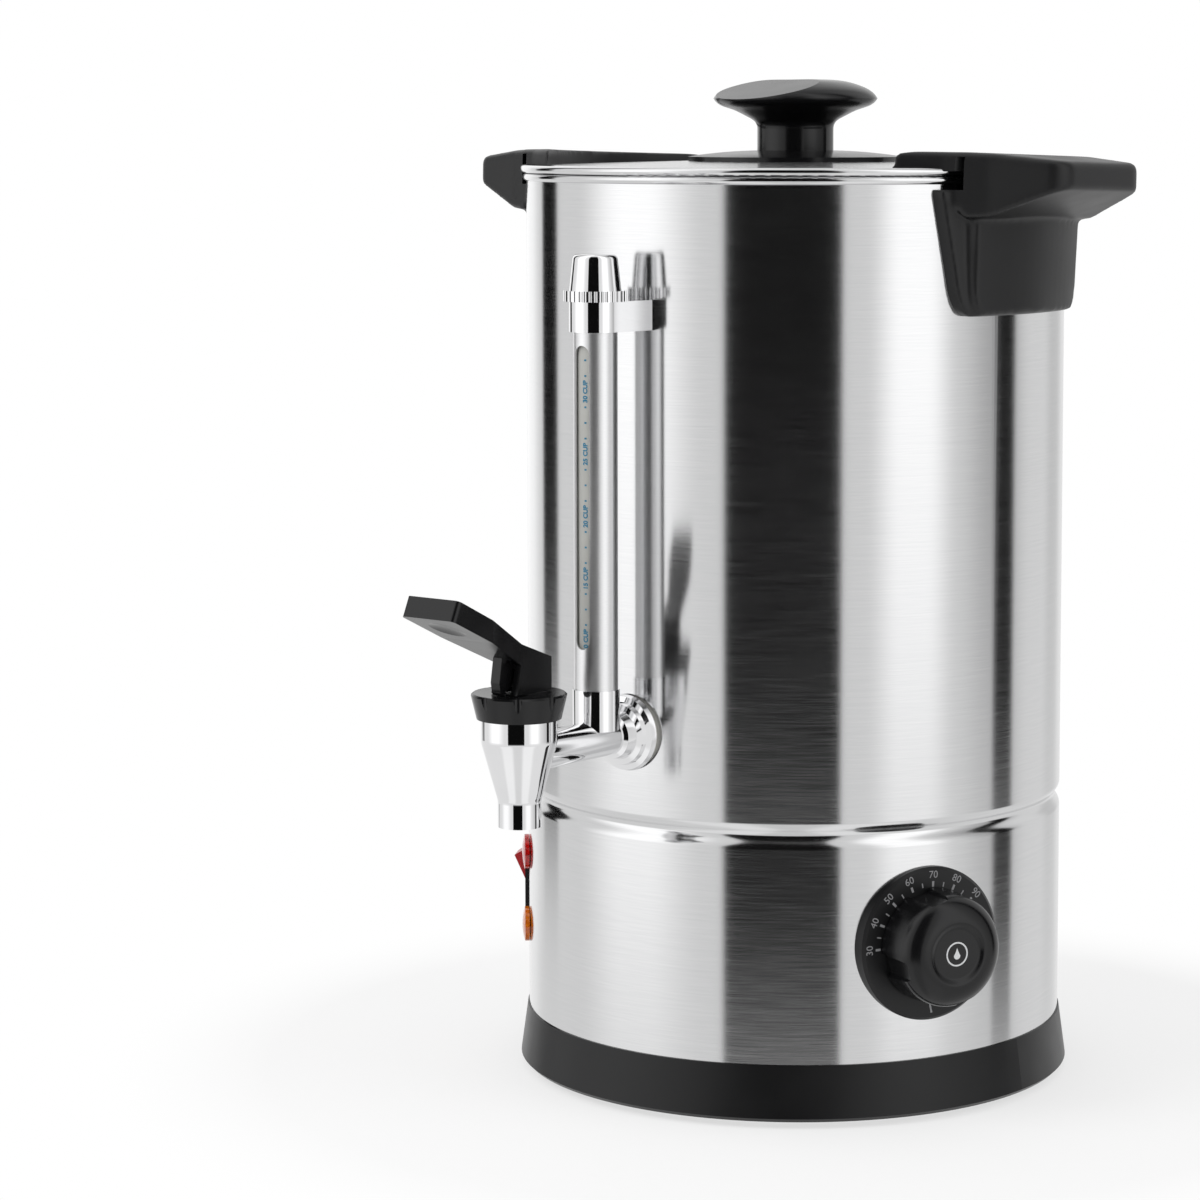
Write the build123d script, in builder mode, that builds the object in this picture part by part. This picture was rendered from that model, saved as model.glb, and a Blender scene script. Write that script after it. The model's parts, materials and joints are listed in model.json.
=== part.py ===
from build123d import *
import os
from math import asin, cos, radians, sin, sqrt

# Eight litre drink urn with a double wall, a lever tap and a sight gauge.
# The origin is the centre of the foot plane, +Z is up, the tap faces -Y and
# the handles lie along X. Lengths are in millimetres and angles in degrees.

# ---- clearances --------------------------------------------------------------
fit_gap = 0.05          # round fits of one assembly
seat_gap = 0.1          # curved faces that seat on each other
run_gap = 0.05          # shafts that turn or slide in a bore
move_gap = 0.4          # moving pieces that pass each other
end_gap = 1.0           # space beyond the end of a screw or shaft
hole_reach = 8.0        # cutters reach this far to each side of a sheet wall

# ---- casing ------------------------------------------------------------------
shell_radius = 113.0
shell_wall = 0.6
base_height = 25.2      # the shell stands on the base ring here
shell_bead_z = 377.0    # middle of the shell's rolled top
shell_bead_radius = 1.7
shell_bead_proud = 1.5  # the roll stands this far out of the wall
groove_z = 119.6        # pressed groove under the tap
groove_height = 10.4
groove_depth = 2.2

# ---- tank --------------------------------------------------------------------
tank_radius = 100.0
tank_wall = 0.6
tank_floor_z = 128.0
tank_corner = 6.0
flange_bend = 1.5
rim_bead_radius = 1.6
rim_overhang = 1.0      # rim bead centre outside the shell wall
rim_bead_rise = 1.5     # rim bead centre above the flange's underside

# ---- base ring, plate and feet -----------------------------------------------
ring_top_proud = 0.6    # ring outside the shell wall, at its top and foot
ring_foot_proud = 3.5
ring_wall = 2.2
ring_foot_edge = 1.6
foot_proud = 2.6        # rubber feet reach this far below the ring
spigot_height = 6.0
ledge_width = 9.0
ledge_thickness = 2.4
plate_thickness = 1.0
plate_clearance = 1.5
foot_height = 7.0
foot_radius = 9.0
foot_circle = 88.0
foot_count = 4
foot_web = 5.0          # width of the rubber ring that joins the feet
foot_recess = 3.5
lug_radius = 6.5
lug_height = 11.0
base_screw_radius = 2.0
base_screw_reach = 9.0  # thread in the lug
screw_head_height = 2.0
vent_length = 34.0
vent_width = 4.0
vent_count = 5
vent_pitch = 13.0

# ---- lid and knob ------------------------------------------------------------
lid_overlap = 3.5       # lid edge outside the tank wall
lid_wall = 0.8
lid_rim_height = 2.4    # lid edge above the tank flange
lid_dome_height = 4.0   # lid centre above the tank flange
lid_spigot_depth = 8.0
lid_spigot_gap = 0.9
lid_spigot_lap = 0.2    # spigot ends this far below the lid's edge
lid_pad_margin = 1.0    # flat middle of the lid around the skirt
lid_dome_bend = 30.0
lid_edge_round = 1.6
skirt_radius = 45.0
skirt_edge = 1.9
skirt_height = 4.4
skirt_bulge = 0.5
skirt_seat = 1.0        # flat ring around the neck
neck_radius = 16.0
neck_straight = 9.0     # all knob heights are above the skirt's top
throat_radius = 20.0
throat_rise = 14.0
under_radius = 26.7
under_rise = 17.2
head_radius = 34.4
head_rise = 21.7        # widest line of the knob
under_tangent = (0.55, 1)
crown_tangent = (-0.5, 1)
crown_radius = 27.4
crown_rise = 27.0
head_top = 29.6
lid_screw_radius = 2.5
lid_screw_length = 17.0
scoop_tilt = 14.8       # flat of the knob, it looks forward
scoop_turn = -10.6      # and a little to the left
scoop_rise = 0.7        # its plane passes this far above the crown

# ---- handles -----------------------------------------------------------------
handle_top_z = 388.3
handle_lap = 8.4        # inner edge inside the shell wall
handle_inner_half = 58.0
handle_reach = 38.0     # outer end beyond the shell wall
handle_outer_half = 29.0
handle_corner = 18.0
handle_end = 9.8        # thickness of the outer end
handle_droop = 4.2      # the outer end lies this far below the top
handle_bend = 60.0
handle_round = 2.5
notch_depth = 6.0       # room for the rolled rims, beyond the shell wall
handle_under_z = 361.5  # grip underside at the mounting block
block_top_proud = 9.5   # face of the block beyond the wall, at its top and bottom
block_bottom_proud = 7.0
block_bottom_z = 320.0
block_top_half = 46.8
block_bottom_half = 40.0
block_corner = 11.0
block_draft = 13.5
block_root = 12.0       # hidden depth behind the wall line, cut to the wall
block_reach = 16.0      # tapered length beyond the wall line, cut to the face
block_lap = 12.0        # the block reaches this far up into the grip
grip_rib_count = 4      # low ribs across the underside of the grip
grip_rib_pitch = 5.0
grip_rib_radius = 0.6
grip_rib_half = 22.0
grip_rib_inset = 4.0    # first rib behind the outer end
handle_screw_radius = 2.0
handle_screw_length = 7.0
handle_screw_angle = 9.0
handle_screw_z = 345.0

# ---- tap ---------------------------------------------------------------------
tap_stand = 67.5        # valve axis beyond the shell wall
pipe_z = 155.8
pipe_radius = 7.5
pipe_bore = 4.0
joint_setback = 31.5    # shank and tap body meet this far behind the valve axis
shank_plug_radius = 5.6
shank_plug_length = 8.0
flange_radius = 15.4
flange_length = 11.0
flange_steps = [        # distance from the flange's face, drop from its radius
    (2.2, 0.6),
    (3.0, 2.6),
    (5.0, 3.2),
    (5.8, 5.3),
    (10.0, 6.3),
]
tail_radius = 8.5
tail_inside = 9.0       # tail beyond the tank wall
tail_nut_height = 5.0
tail_nut_flats = 22.0
gasket_thickness = 1.2
gasket_width = 4.0
gasket_margin = 1.0     # flange edge outside the front gasket
curve_allowance = 0.6   # extra thickness where a gasket meets a round wall
barrel_radius = 15.0
barrel_top_z = 177.0
barrel_shoulder_z = 161.5
barrel_round = 8.0
thread_depth = 0.8
spout_radius = 8.5
spout_neck_z = 138.5
spout_bottom_z = 128.0
spout_bore = 6.0
chamber_radius = 10.4
seat_z = 149.5
bonnet_bottom_z = 170.4
bonnet_top_z = 180.4
bonnet_top_radius = 18.7
bonnet_bottom_radius = 16.5
bonnet_edge = 0.8
bonnet_lap = 1.0        # the bonnet's lip covers the end of the barrel's skin
bonnet_flute_count = 8
bonnet_flute_radius = 1.8
bonnet_flute_depth = 1.1
bonnet_flute_turn = -6.0
stem_radius = 3.0
boot_radius = 3.2
boot_length = 7.0       # thicker part of the stem below the bonnet
cup_radius = 8.4
cup_height = 7.0
cup_lip = 2.0
cup_nose_radius = 3.5
cup_nose_depth = 2.0
cup_nose_gap = 0.4
stem_head_width = 6.4
stem_head_length = 8.0
stem_head_round = 1.0
stem_head_below = 2.6   # head below and above the pin
stem_head_above = 3.4
pin_rise = 5.2          # pin above the bonnet
pin_radius = 1.5
spring_coil_radius = 6.4
spring_wire = 0.6
spring_turns = 5

# ---- tap lever ---------------------------------------------------------------
lever_seat = 0.3        # cheeks above the bonnet
toe_reach = 12.0        # toe axis in front of the valve axis
toe_radius = 1.5
lever_swing = 22.0
paddle_reach = 49.6     # reaches are in front of the valve axis
paddle_top = 41.9       # heights are above the bonnet
paddle_tip_reach = 53.0
paddle_tip_low = 34.4
bend_reach = 30.2
bend_top = 32.5
bend_thickness = 8.8
hip_reach = 5.8
hip_top = 20.0
hip_low = 11.5
heel_reach = 11.9       # behind the valve axis
heel_top = 13.3
heel_low = 6.0
paddle_half = 13.1
paddle_corner = 2.0
dish_radius = 7.5       # shallow finger dish in the paddle's underside
dish_depth = 0.9
cheek_half = 6.5
cheek_front = 8.9
cheek_lean = 3.4        # the front of the cheeks leans back by this much
cheek_skin = 1.2        # cheek left outside the blind pin slot
cave_rise = 2.4         # room above and behind the stem's head
cave_setback = 1.9
cave_front_rise = 6.0
fin_half = 2.2          # toe fin between the cheeks
fin_foot_rise = 5.0
fin_foot_lean = 0.7
fin_heel_rise = 4.0

# ---- sight gauge -------------------------------------------------------------
gauge_stand = 20.3      # gauge axis beyond the shell wall
socket_radius = 9.4
socket_low = 4.0        # socket starts this far above the pipe's axis
socket_top_z = 176.0
riser_bore = 3.2
shield_radius = 8.75
shield_wall = 0.65
shield_top_z = 317.8
slot_width = 6.7
slot_low_z = 192.5
slot_high_z = 312.6
glass_radius = 6.3
glass_wall = 1.3
glass_low_z = 163.0
glass_high_z = 338.0
collar_radius = 10.4
collar_height = 12.0
collar_neck_radius = 9.2
collar_neck_height = 5.0
arm_half = 12.5         # bracket arm at the wall, it narrows to the collar
arm_root = 3.0
knurl_radius = 12.6
knurl_height = 4.2
knurl_count = 36
knurl_notch = 0.8
knurl_notch_out = 0.3
cap_low_radius = 10.3
cap_high_radius = 8.75
cap_height = 18.6
cap_round = 2.2
cap_roof = 3.0
seal_height = 4.0
seal_width = 1.3
bracket_screw_radius = 2.0
bracket_screw_length = 10.0

# ---- dial --------------------------------------------------------------------
dial_angle = 64.5       # turned from the tap's side towards +X
dial_z = 72.4
dial_plate_radius = 31.1
dial_plate_proud = 2.6
dial_bevel = 1.2
dial_knob_radius = 23.0
dial_knob_gap = 0.8
dial_knob_depth = 20.4
dial_side_depth = 12.6  # nearly straight side of the knob
dial_side_draft = 0.6
dial_face_radius = 12.8
dial_dish_radius = 9.8  # floor of the dish in the knob's face
dial_dish_depth = 0.9
dial_notch_count = 4    # finger notches in the knob's side
dial_notch_turn = 16.0
dial_notch_depth = 2.0
dial_notch_over = 1.0   # the notch cutter ends this far outside the knob
dial_notch_floor = 7.2
dial_notch_mouth = 12.8
spindle_radius = 3.0
spindle_grip = 9.0      # spindle's length in the knob
thermostat_half_width = 13.0
thermostat_half_height = 17.0
thermostat_depth = 22.0
thermostat_ear = 4.0    # flange beyond its screws
thermostat_ear_height = 12.0
thermostat_ear_thickness = 2.0
bush_depth = 11.0
dial_screw_spacing = 24.0
dial_screw_radius = 1.6
dial_screw_length = 9.0

# ---- switch panel ------------------------------------------------------------
lamp_angle = -48.0
red_lamp_z = 90.6
amber_lamp_z = 59.4
lamp_lens_radius = 7.4
lamp_lens_height = 3.0
lamp_lens_edge = 1.9
lamp_barrel_radius = 5.5
lamp_depth = 20.0
lamp_nut_height = 2.5
lamp_nut_radius = 8.0
switch_angle = -58.5
switch_z = 75.6
bezel_half_width = 7.5
bezel_half_height = 14.5
bezel_thickness = 1.8
bezel_frame = 1.3
bezel_side_frame = 1.9
bezel_round = 1.0
switch_depth = 16.0
switch_pocket = 9.0     # room for the rocker behind the bezel
rocker_rise = 2.0
rocker_dip = 1.9
rocker_foot = 2.0       # body of the rocker below its pivot
rocker_tilt = 15.5
rocker_pivot_depth = 3.0
rocker_pin_radius = 1.2

# ---- inside the base ---------------------------------------------------------
heat_plate_radius = 84.0
heat_plate_thickness = 3.0
element_circle = 66.0
element_radius = 4.0
element_gap_angle = 36.0
element_leg = 18.0
cutout_radius = 8.5
cutout_height = 9.0
cutout_flange_length = 25.5
cutout_flange_width = 8.5
cutout_flange_height = 1.0
bulb_radius = 3.0
bulb_length = 60.0
bulb_row = 35.0         # bulb in front of the urn's axis
clip_wall = 1.2
clip_length = 15.0
clip_foot = 15.0
block_length = 46.0
block_width = 18.0
block_height = 16.0
block_ways = 4
block_barrier = 2.4     # wall between two terminals
block_rebate = 3.6
terminal_bore = 2.9
gland_z = 42.0
gland_angle = 180.0
gland_flange_radius = 10.0
gland_flange_height = 4.0
gland_flange_draft = 12.0
gland_barrel_radius = 7.5
gland_bore = 3.9
gland_depth = 12.0
gland_nut_height = 4.0
gland_nut_flats = 21.0

# ---- places worked out from the sizes ----------------------------------------
shell_inner = shell_radius - shell_wall
shell_top_z = shell_bead_z + shell_bead_radius
ring_top_radius = shell_radius + ring_top_proud
ring_foot_radius = shell_radius + ring_foot_proud
flange_low_z = shell_top_z + seat_gap
flange_top_z = flange_low_z + tank_wall
rim_bead_r = shell_radius + rim_overhang
rim_bead_z = flange_low_z + rim_bead_rise
rim_top_z = rim_bead_z + rim_bead_radius
tank_outer = tank_radius + tank_wall
tank_under_z = tank_floor_z - tank_wall
lid_radius = tank_radius + lid_overlap
handle_inner_radius = shell_radius - handle_lap
handle_end_x = shell_radius + handle_reach
block_top_radius = shell_radius + block_top_proud
block_bottom_radius = shell_radius + block_bottom_proud
tap_reach = shell_radius + tap_stand
shank_joint = tap_reach - joint_setback
gauge_reach = shell_radius + gauge_stand
pin_z = bonnet_top_z + pin_rise
tall = 2 * handle_top_z  # longer than anything it cuts


def wall_plane(angle, height, radius=shell_radius):
    """Plane that touches the casing, its normal outwards and its y axis up."""
    out = Vector(sin(radians(angle)), -cos(radians(angle)), 0)
    across = Vector(cos(radians(angle)), sin(radians(angle)), 0)
    origin = out * radius + Vector(0, 0, height)
    return Plane(origin=origin, x_dir=across, z_dir=out)


def dome_middle(half_width, low, high):
    """Halfway point of a round dome that is level on its axis."""
    rise = high - low
    radius = (half_width ** 2 + rise ** 2) / (2 * rise)
    half_turn = asin(half_width / radius) / 2
    return (radius * sin(half_turn), high - radius * (1 - cos(half_turn)))


def curve_sag(radius, half_width):
    """How far a cylinder falls away from its tangent plane."""
    return radius - sqrt(radius ** 2 - half_width ** 2)


def ring_points(count, radius, start=0.0):
    """Polar points of a round pattern."""
    step = 360 / count
    return [
        (radius * cos(radians(start + step * i)), radius * sin(radians(start + step * i)))
        for i in range(count)
    ]


def save(piece, name):
    """Label a finished piece and write it."""
    piece.part.label = name
    export_step(piece.part, "parts/" + name + ".step")


os.makedirs("parts", exist_ok=True)

# ==== base ====================================================================
ledge_z = foot_height + plate_thickness
foot_spots = ring_points(foot_count, foot_circle, 45)
spigot_outer = shell_inner - seat_gap
spigot_inner = spigot_outer - ring_wall

with BuildPart() as base_ring:
    with BuildSketch(Plane.XZ):
        with BuildLine():
            Polyline(
                (ring_foot_radius - ring_foot_edge, foot_proud),
                (ring_foot_radius, foot_proud + ring_foot_edge),
                (ring_top_radius, base_height),
                (spigot_outer, base_height),
                (spigot_outer, base_height + spigot_height),
                (spigot_inner, base_height + spigot_height),
                (spigot_inner, ledge_z + ledge_thickness),
                (spigot_inner - ledge_width, ledge_z + ledge_thickness),
                (spigot_inner - ledge_width, ledge_z),
                (spigot_inner, ledge_z),
                (ring_foot_radius - ring_foot_edge - ring_wall, foot_proud),
                close=True,
            )
        make_face()
    revolve(axis=Axis.Z)
    with BuildSketch(Plane.XY.offset(ledge_z)):
        with Locations(*foot_spots):
            Circle(lug_radius)
        with PolarLocations((foot_circle + spigot_inner) / 2, foot_count, 45):
            Rectangle(spigot_inner - foot_circle + ring_wall, 2 * lug_radius)
    extrude(amount=lug_height)
    with BuildSketch(Plane.XY.offset(ledge_z)):
        with Locations(*foot_spots):
            Circle(base_screw_radius + fit_gap)
    extrude(amount=base_screw_reach + end_gap, mode=Mode.SUBTRACT)
save(base_ring, "base_ring")

with BuildPart() as bottom_plate:
    with BuildSketch(Plane.XY.offset(foot_height)):
        Circle(spigot_inner - plate_clearance)
        with Locations(*foot_spots):
            Circle(base_screw_radius + fit_gap, mode=Mode.SUBTRACT)
        with GridLocations(0, vent_pitch, 1, vent_count):
            SlotOverall(vent_length, vent_width, mode=Mode.SUBTRACT)
    extrude(amount=plate_thickness)
save(bottom_plate, "bottom_plate")

with BuildPart() as rubber_feet:
    with BuildSketch(Plane.XY):
        Circle(foot_circle + foot_web / 2)
        Circle(foot_circle - foot_web / 2, mode=Mode.SUBTRACT)
        with Locations(*foot_spots):
            Circle(foot_radius)
        with Locations(*foot_spots):
            Circle(base_screw_radius + fit_gap, mode=Mode.SUBTRACT)
    extrude(amount=foot_height)
    with BuildSketch(Plane.XY):
        with Locations(*foot_spots):
            Circle(2 * base_screw_radius + move_gap)
    extrude(amount=foot_recess, mode=Mode.SUBTRACT)
save(rubber_feet, "rubber_feet")

with BuildPart() as base_screws:
    with BuildSketch(Plane.XY.offset(foot_recess - screw_head_height)):
        with Locations(*foot_spots):
            Circle(2 * base_screw_radius)
    extrude(amount=screw_head_height)
    with BuildSketch(Plane.XY.offset(foot_recess)):
        with Locations(*foot_spots):
            Circle(base_screw_radius)
    extrude(amount=ledge_z - foot_recess + base_screw_reach)
save(base_screws, "base_screws")

# ==== casing ==================================================================
tap_hole = tail_radius + seat_gap
switch_half_width = bezel_half_width - bezel_frame / 2
switch_half_height = bezel_half_height - bezel_frame / 2
handle_screw_angles = [
    side + turn for side in (90, -90) for turn in (-handle_screw_angle, handle_screw_angle)
]

with BuildPart() as outer_shell:
    with BuildSketch(Plane.XZ):
        with BuildLine():
            Line((shell_radius, base_height), (shell_radius, groove_z - groove_height / 2))
            Spline(
                (shell_radius, groove_z - groove_height / 2),
                (shell_radius - groove_depth, groove_z),
                (shell_radius, groove_z + groove_height / 2),
                tangents=[(0, 1), (0, 1)],
            )
            Line((shell_radius, groove_z + groove_height / 2), (shell_radius, shell_bead_z))
            Line((shell_radius, shell_bead_z), (shell_inner, shell_bead_z))
            Line((shell_inner, shell_bead_z), (shell_inner, groove_z + groove_height / 2))
            Spline(
                (shell_inner, groove_z + groove_height / 2),
                (shell_inner - groove_depth, groove_z),
                (shell_inner, groove_z - groove_height / 2),
                tangents=[(0, -1), (0, -1)],
            )
            Line((shell_inner, groove_z - groove_height / 2), (shell_inner, base_height))
            Line((shell_inner, base_height), (shell_radius, base_height))
        make_face()
        with Locations((shell_radius + shell_bead_proud - shell_bead_radius, shell_bead_z)):
            Circle(shell_bead_radius)
    revolve(axis=Axis.Z)
    with BuildSketch(wall_plane(0, pipe_z)):
        Circle(tap_hole)
    with BuildSketch(wall_plane(0, shield_top_z + collar_height / 2)):
        Circle(bracket_screw_radius + seat_gap)
    for turn in handle_screw_angles:
        with BuildSketch(wall_plane(turn, handle_screw_z)):
            Circle(handle_screw_radius + seat_gap)
    with BuildSketch(wall_plane(dial_angle, dial_z)):
        Circle(spindle_radius + move_gap)
        with GridLocations(dial_screw_spacing, 0, 2, 1):
            Circle(dial_screw_radius + seat_gap)
    for height in (red_lamp_z, amber_lamp_z):
        with BuildSketch(wall_plane(lamp_angle, height)):
            Circle(lamp_barrel_radius + seat_gap)
    with BuildSketch(wall_plane(switch_angle, switch_z)):
        Rectangle(2 * (switch_half_width + seat_gap), 2 * (switch_half_height + seat_gap))
    with BuildSketch(wall_plane(gland_angle, gland_z)):
        Circle(gland_barrel_radius + seat_gap)
    extrude(amount=hole_reach, both=True, mode=Mode.SUBTRACT)
save(outer_shell, "outer_shell")

# ==== tank ====================================================================
with BuildPart() as inner_tank:
    with BuildSketch(Plane.XZ):
        with BuildLine():
            FilletPolyline(
                (0, tank_floor_z),
                (tank_radius, tank_floor_z),
                (tank_radius, flange_top_z),
                (rim_bead_r, flange_top_z),
                radius=[tank_corner, flange_bend + tank_wall],
            )
            FilletPolyline(
                (0, tank_under_z),
                (tank_outer, tank_under_z),
                (tank_outer, flange_low_z),
                (rim_bead_r, flange_low_z),
                radius=[tank_corner + tank_wall, flange_bend],
            )
            Line((0, tank_under_z), (0, tank_floor_z))
            Line((rim_bead_r, flange_low_z), (rim_bead_r, flange_top_z))
        make_face()
        with Locations((rim_bead_r, rim_bead_z)):
            Circle(rim_bead_radius)
    revolve(axis=Axis.Z)
    with BuildSketch(wall_plane(0, pipe_z, tank_outer)):
        Circle(tap_hole)
    extrude(amount=hole_reach, both=True, mode=Mode.SUBTRACT)
save(inner_tank, "inner_tank")

with BuildPart() as heat_plate:
    with BuildSketch(Plane.XY.offset(tank_under_z)):
        Circle(heat_plate_radius)
    extrude(amount=-heat_plate_thickness)
save(heat_plate, "heat_plate")

heat_under_z = tank_under_z - heat_plate_thickness
element_z = heat_under_z - element_radius - seat_gap / 2
leg_angle = radians(90 + element_gap_angle / 2)
leg_x = element_circle * cos(leg_angle)
leg_y = element_circle * sin(leg_angle)
with BuildPart() as heating_element:
    with BuildLine(Plane.XY.offset(element_z)) as element_path:
        CenterArc((0, 0), element_circle, 90 + element_gap_angle / 2, 360 - element_gap_angle)
    with BuildSketch(Plane(element_path.line @ 0, z_dir=element_path.line % 0)):
        Circle(element_radius)
    sweep(path=element_path.line)
    with Locations((leg_x, leg_y, element_z), (-leg_x, leg_y, element_z)):
        Sphere(element_radius)
    with BuildSketch(Plane.XY.offset(element_z)):
        with Locations((leg_x, leg_y), (-leg_x, leg_y)):
            Circle(element_radius)
    extrude(amount=-element_leg)
save(heating_element, "heating_element")

with BuildPart() as boil_dry_cutout:
    with BuildSketch(Plane.XY.offset(heat_under_z)):
        Circle(cutout_radius)
    extrude(amount=-cutout_height)
    with BuildSketch(Plane.XY.offset(heat_under_z)):
        Rectangle(cutout_flange_length, cutout_flange_width)
    extrude(amount=-cutout_flange_height)
save(boil_dry_cutout, "boil_dry_cutout")

bulb_z = heat_under_z - bulb_radius - clip_wall
with BuildPart() as thermostat_bulb:
    with BuildSketch(Plane.YZ.offset(bulb_length / 2)):
        with Locations((-bulb_row, bulb_z)):
            Circle(bulb_radius)
    extrude(amount=-bulb_length)
save(thermostat_bulb, "thermostat_bulb")

with BuildPart() as bulb_clip:
    with BuildSketch(Plane.YZ.offset(clip_length / 2)):
        with Locations((-bulb_row, bulb_z)):
            Circle(bulb_radius + clip_wall)
        with Locations((-bulb_row, heat_under_z - clip_wall / 2)):
            Rectangle(clip_foot, clip_wall)
        with Locations((-bulb_row, bulb_z)):
            Circle(bulb_radius + fit_gap, mode=Mode.SUBTRACT)
    extrude(amount=-clip_length)
save(bulb_clip, "bulb_clip")

block_pitch = block_length / block_ways
with BuildPart() as terminal_block:
    with BuildSketch(Plane.XY.offset(ledge_z)):
        with Locations((0, foot_circle / 2)):
            Rectangle(block_length, block_width)
    extrude(amount=block_height / 2)
    with BuildSketch(Plane.XY.offset(ledge_z + block_height / 2)):
        with Locations((0, foot_circle / 2)):
            with GridLocations(block_pitch, 0, block_ways, 1):
                Rectangle(block_pitch - block_barrier, block_width - block_rebate)
    extrude(amount=block_height / 2)
    with BuildSketch(Plane.XY.offset(ledge_z + block_height)):
        with Locations((0, foot_circle / 2)):
            with GridLocations(block_pitch, block_width / 2, block_ways, 2):
                Circle(terminal_bore)
    extrude(amount=-block_height / 2, mode=Mode.SUBTRACT)
save(terminal_block, "terminal_block")

# ==== lid =====================================================================
lid_edge_z = flange_top_z + lid_rim_height
lid_top_z = flange_top_z + lid_dome_height
pad_radius = skirt_radius + lid_pad_margin
spigot_lid = tank_radius - lid_spigot_gap
spigot_top_z = lid_edge_z - lid_spigot_lap
with BuildPart() as lid:
    with BuildSketch(Plane.XZ):
        with BuildLine():
            FilletPolyline(
                (0, lid_top_z),
                (pad_radius, lid_top_z),
                (lid_radius, lid_edge_z),
                (lid_radius, flange_top_z),
                radius=[lid_dome_bend, lid_edge_round],
            )
            FilletPolyline(
                (0, lid_top_z - lid_wall),
                (pad_radius, lid_top_z - lid_wall),
                (lid_radius - lid_wall, lid_edge_z - lid_wall),
                (lid_radius - lid_wall, flange_top_z),
                radius=[lid_dome_bend, lid_edge_round - lid_wall],
            )
            Line((0, lid_top_z - lid_wall), (0, lid_top_z))
            Line((lid_radius, flange_top_z), (lid_radius - lid_wall, flange_top_z))
        make_face()
        with BuildLine():
            Polyline(
                (spigot_lid, spigot_top_z),
                (spigot_lid, flange_low_z - lid_spigot_depth),
                (spigot_lid - lid_wall, flange_low_z - lid_spigot_depth),
                (spigot_lid - lid_wall, spigot_top_z),
                close=True,
            )
        make_face()
    revolve(axis=Axis.Z)
    with BuildSketch(Plane.XY.offset(lid_top_z)):
        Circle(lid_screw_radius + fit_gap)
    extrude(amount=-2 * lid_wall, mode=Mode.SUBTRACT)
save(lid, "lid")

skirt_top_z = lid_top_z + skirt_height
with BuildPart() as lid_skirt:
    with BuildSketch(Plane.XZ):
        with BuildLine():
            Line((neck_radius + skirt_seat, skirt_top_z), (0, skirt_top_z))
            Line((0, skirt_top_z), (0, lid_top_z))
            Line((0, lid_top_z), (skirt_radius, lid_top_z))
            Line((skirt_radius, lid_top_z), (skirt_radius, lid_top_z + skirt_edge))
            ThreePointArc(
                (skirt_radius, lid_top_z + skirt_edge),
                (
                    (skirt_radius + neck_radius) / 2,
                    lid_top_z + (skirt_edge + skirt_height) / 2 + skirt_bulge,
                ),
                (neck_radius + skirt_seat, skirt_top_z),
            )
        make_face()
    revolve(axis=Axis.Z)
    with BuildSketch(Plane.XY.offset(lid_top_z)):
        Circle(lid_screw_radius + fit_gap)
    extrude(amount=skirt_height, mode=Mode.SUBTRACT)
save(lid_skirt, "lid_skirt")

head_z = skirt_top_z + head_rise
knob_top_z = skirt_top_z + head_top
with BuildPart() as lid_knob:
    with BuildSketch(Plane.XZ):
        with BuildLine():
            Line((0, skirt_top_z), (neck_radius, skirt_top_z))
            Line((neck_radius, skirt_top_z), (neck_radius, skirt_top_z + neck_straight))
            Spline(
                (neck_radius, skirt_top_z + neck_straight),
                (throat_radius, skirt_top_z + throat_rise),
                (under_radius, skirt_top_z + under_rise),
                (head_radius, head_z),
                tangents=[(0, 1), under_tangent],
            )
            Spline(
                (head_radius, head_z),
                (crown_radius, skirt_top_z + crown_rise),
                (0, knob_top_z),
                tangents=[crown_tangent, (-1, 0)],
            )
            Line((0, knob_top_z), (0, skirt_top_z))
        make_face()
    revolve(axis=Axis.Z)
    scoop_out = wall_plane(scoop_turn, 0)
    scoop_plane = Plane(
        origin=(0, 0, knob_top_z + scoop_rise),
        x_dir=scoop_out.x_dir,
        z_dir=scoop_out.z_dir * sin(radians(scoop_tilt)) + Vector(0, 0, cos(radians(scoop_tilt))),
    )
    with BuildSketch(scoop_plane):
        Circle(2 * head_radius)
    extrude(amount=head_radius, mode=Mode.SUBTRACT)
    with BuildSketch(Plane.XY.offset(skirt_top_z)):
        Circle(lid_screw_radius + fit_gap)
    extrude(amount=lid_screw_length - skirt_height, mode=Mode.SUBTRACT)
save(lid_knob, "lid_knob")

with BuildPart() as lid_screw:
    with BuildSketch(Plane.XY.offset(lid_top_z - lid_wall)):
        Circle(2 * lid_screw_radius)
    extrude(amount=-lid_screw_radius)
    with BuildSketch(Plane.XY.offset(lid_top_z - lid_wall)):
        Circle(lid_screw_radius)
    extrude(amount=lid_screw_length - end_gap)
save(lid_screw, "lid_screw")

# ==== handles =================================================================
notch_low_z = shell_bead_z - shell_bead_radius - end_gap
notch_top_z = rim_top_z + seat_gap
handle_inner_x = sqrt(handle_inner_radius ** 2 - handle_inner_half ** 2)
end_top_z = handle_top_z - handle_droop
grip_fall = (end_top_z - handle_end - handle_under_z) / (handle_end_x - block_top_radius)
rib_spots = [
    (
        handle_end_x - grip_rib_inset - grip_rib_pitch * i,
        end_top_z - handle_end - grip_fall * (grip_rib_inset + grip_rib_pitch * i),
    )
    for i in range(grip_rib_count)
]


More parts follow.
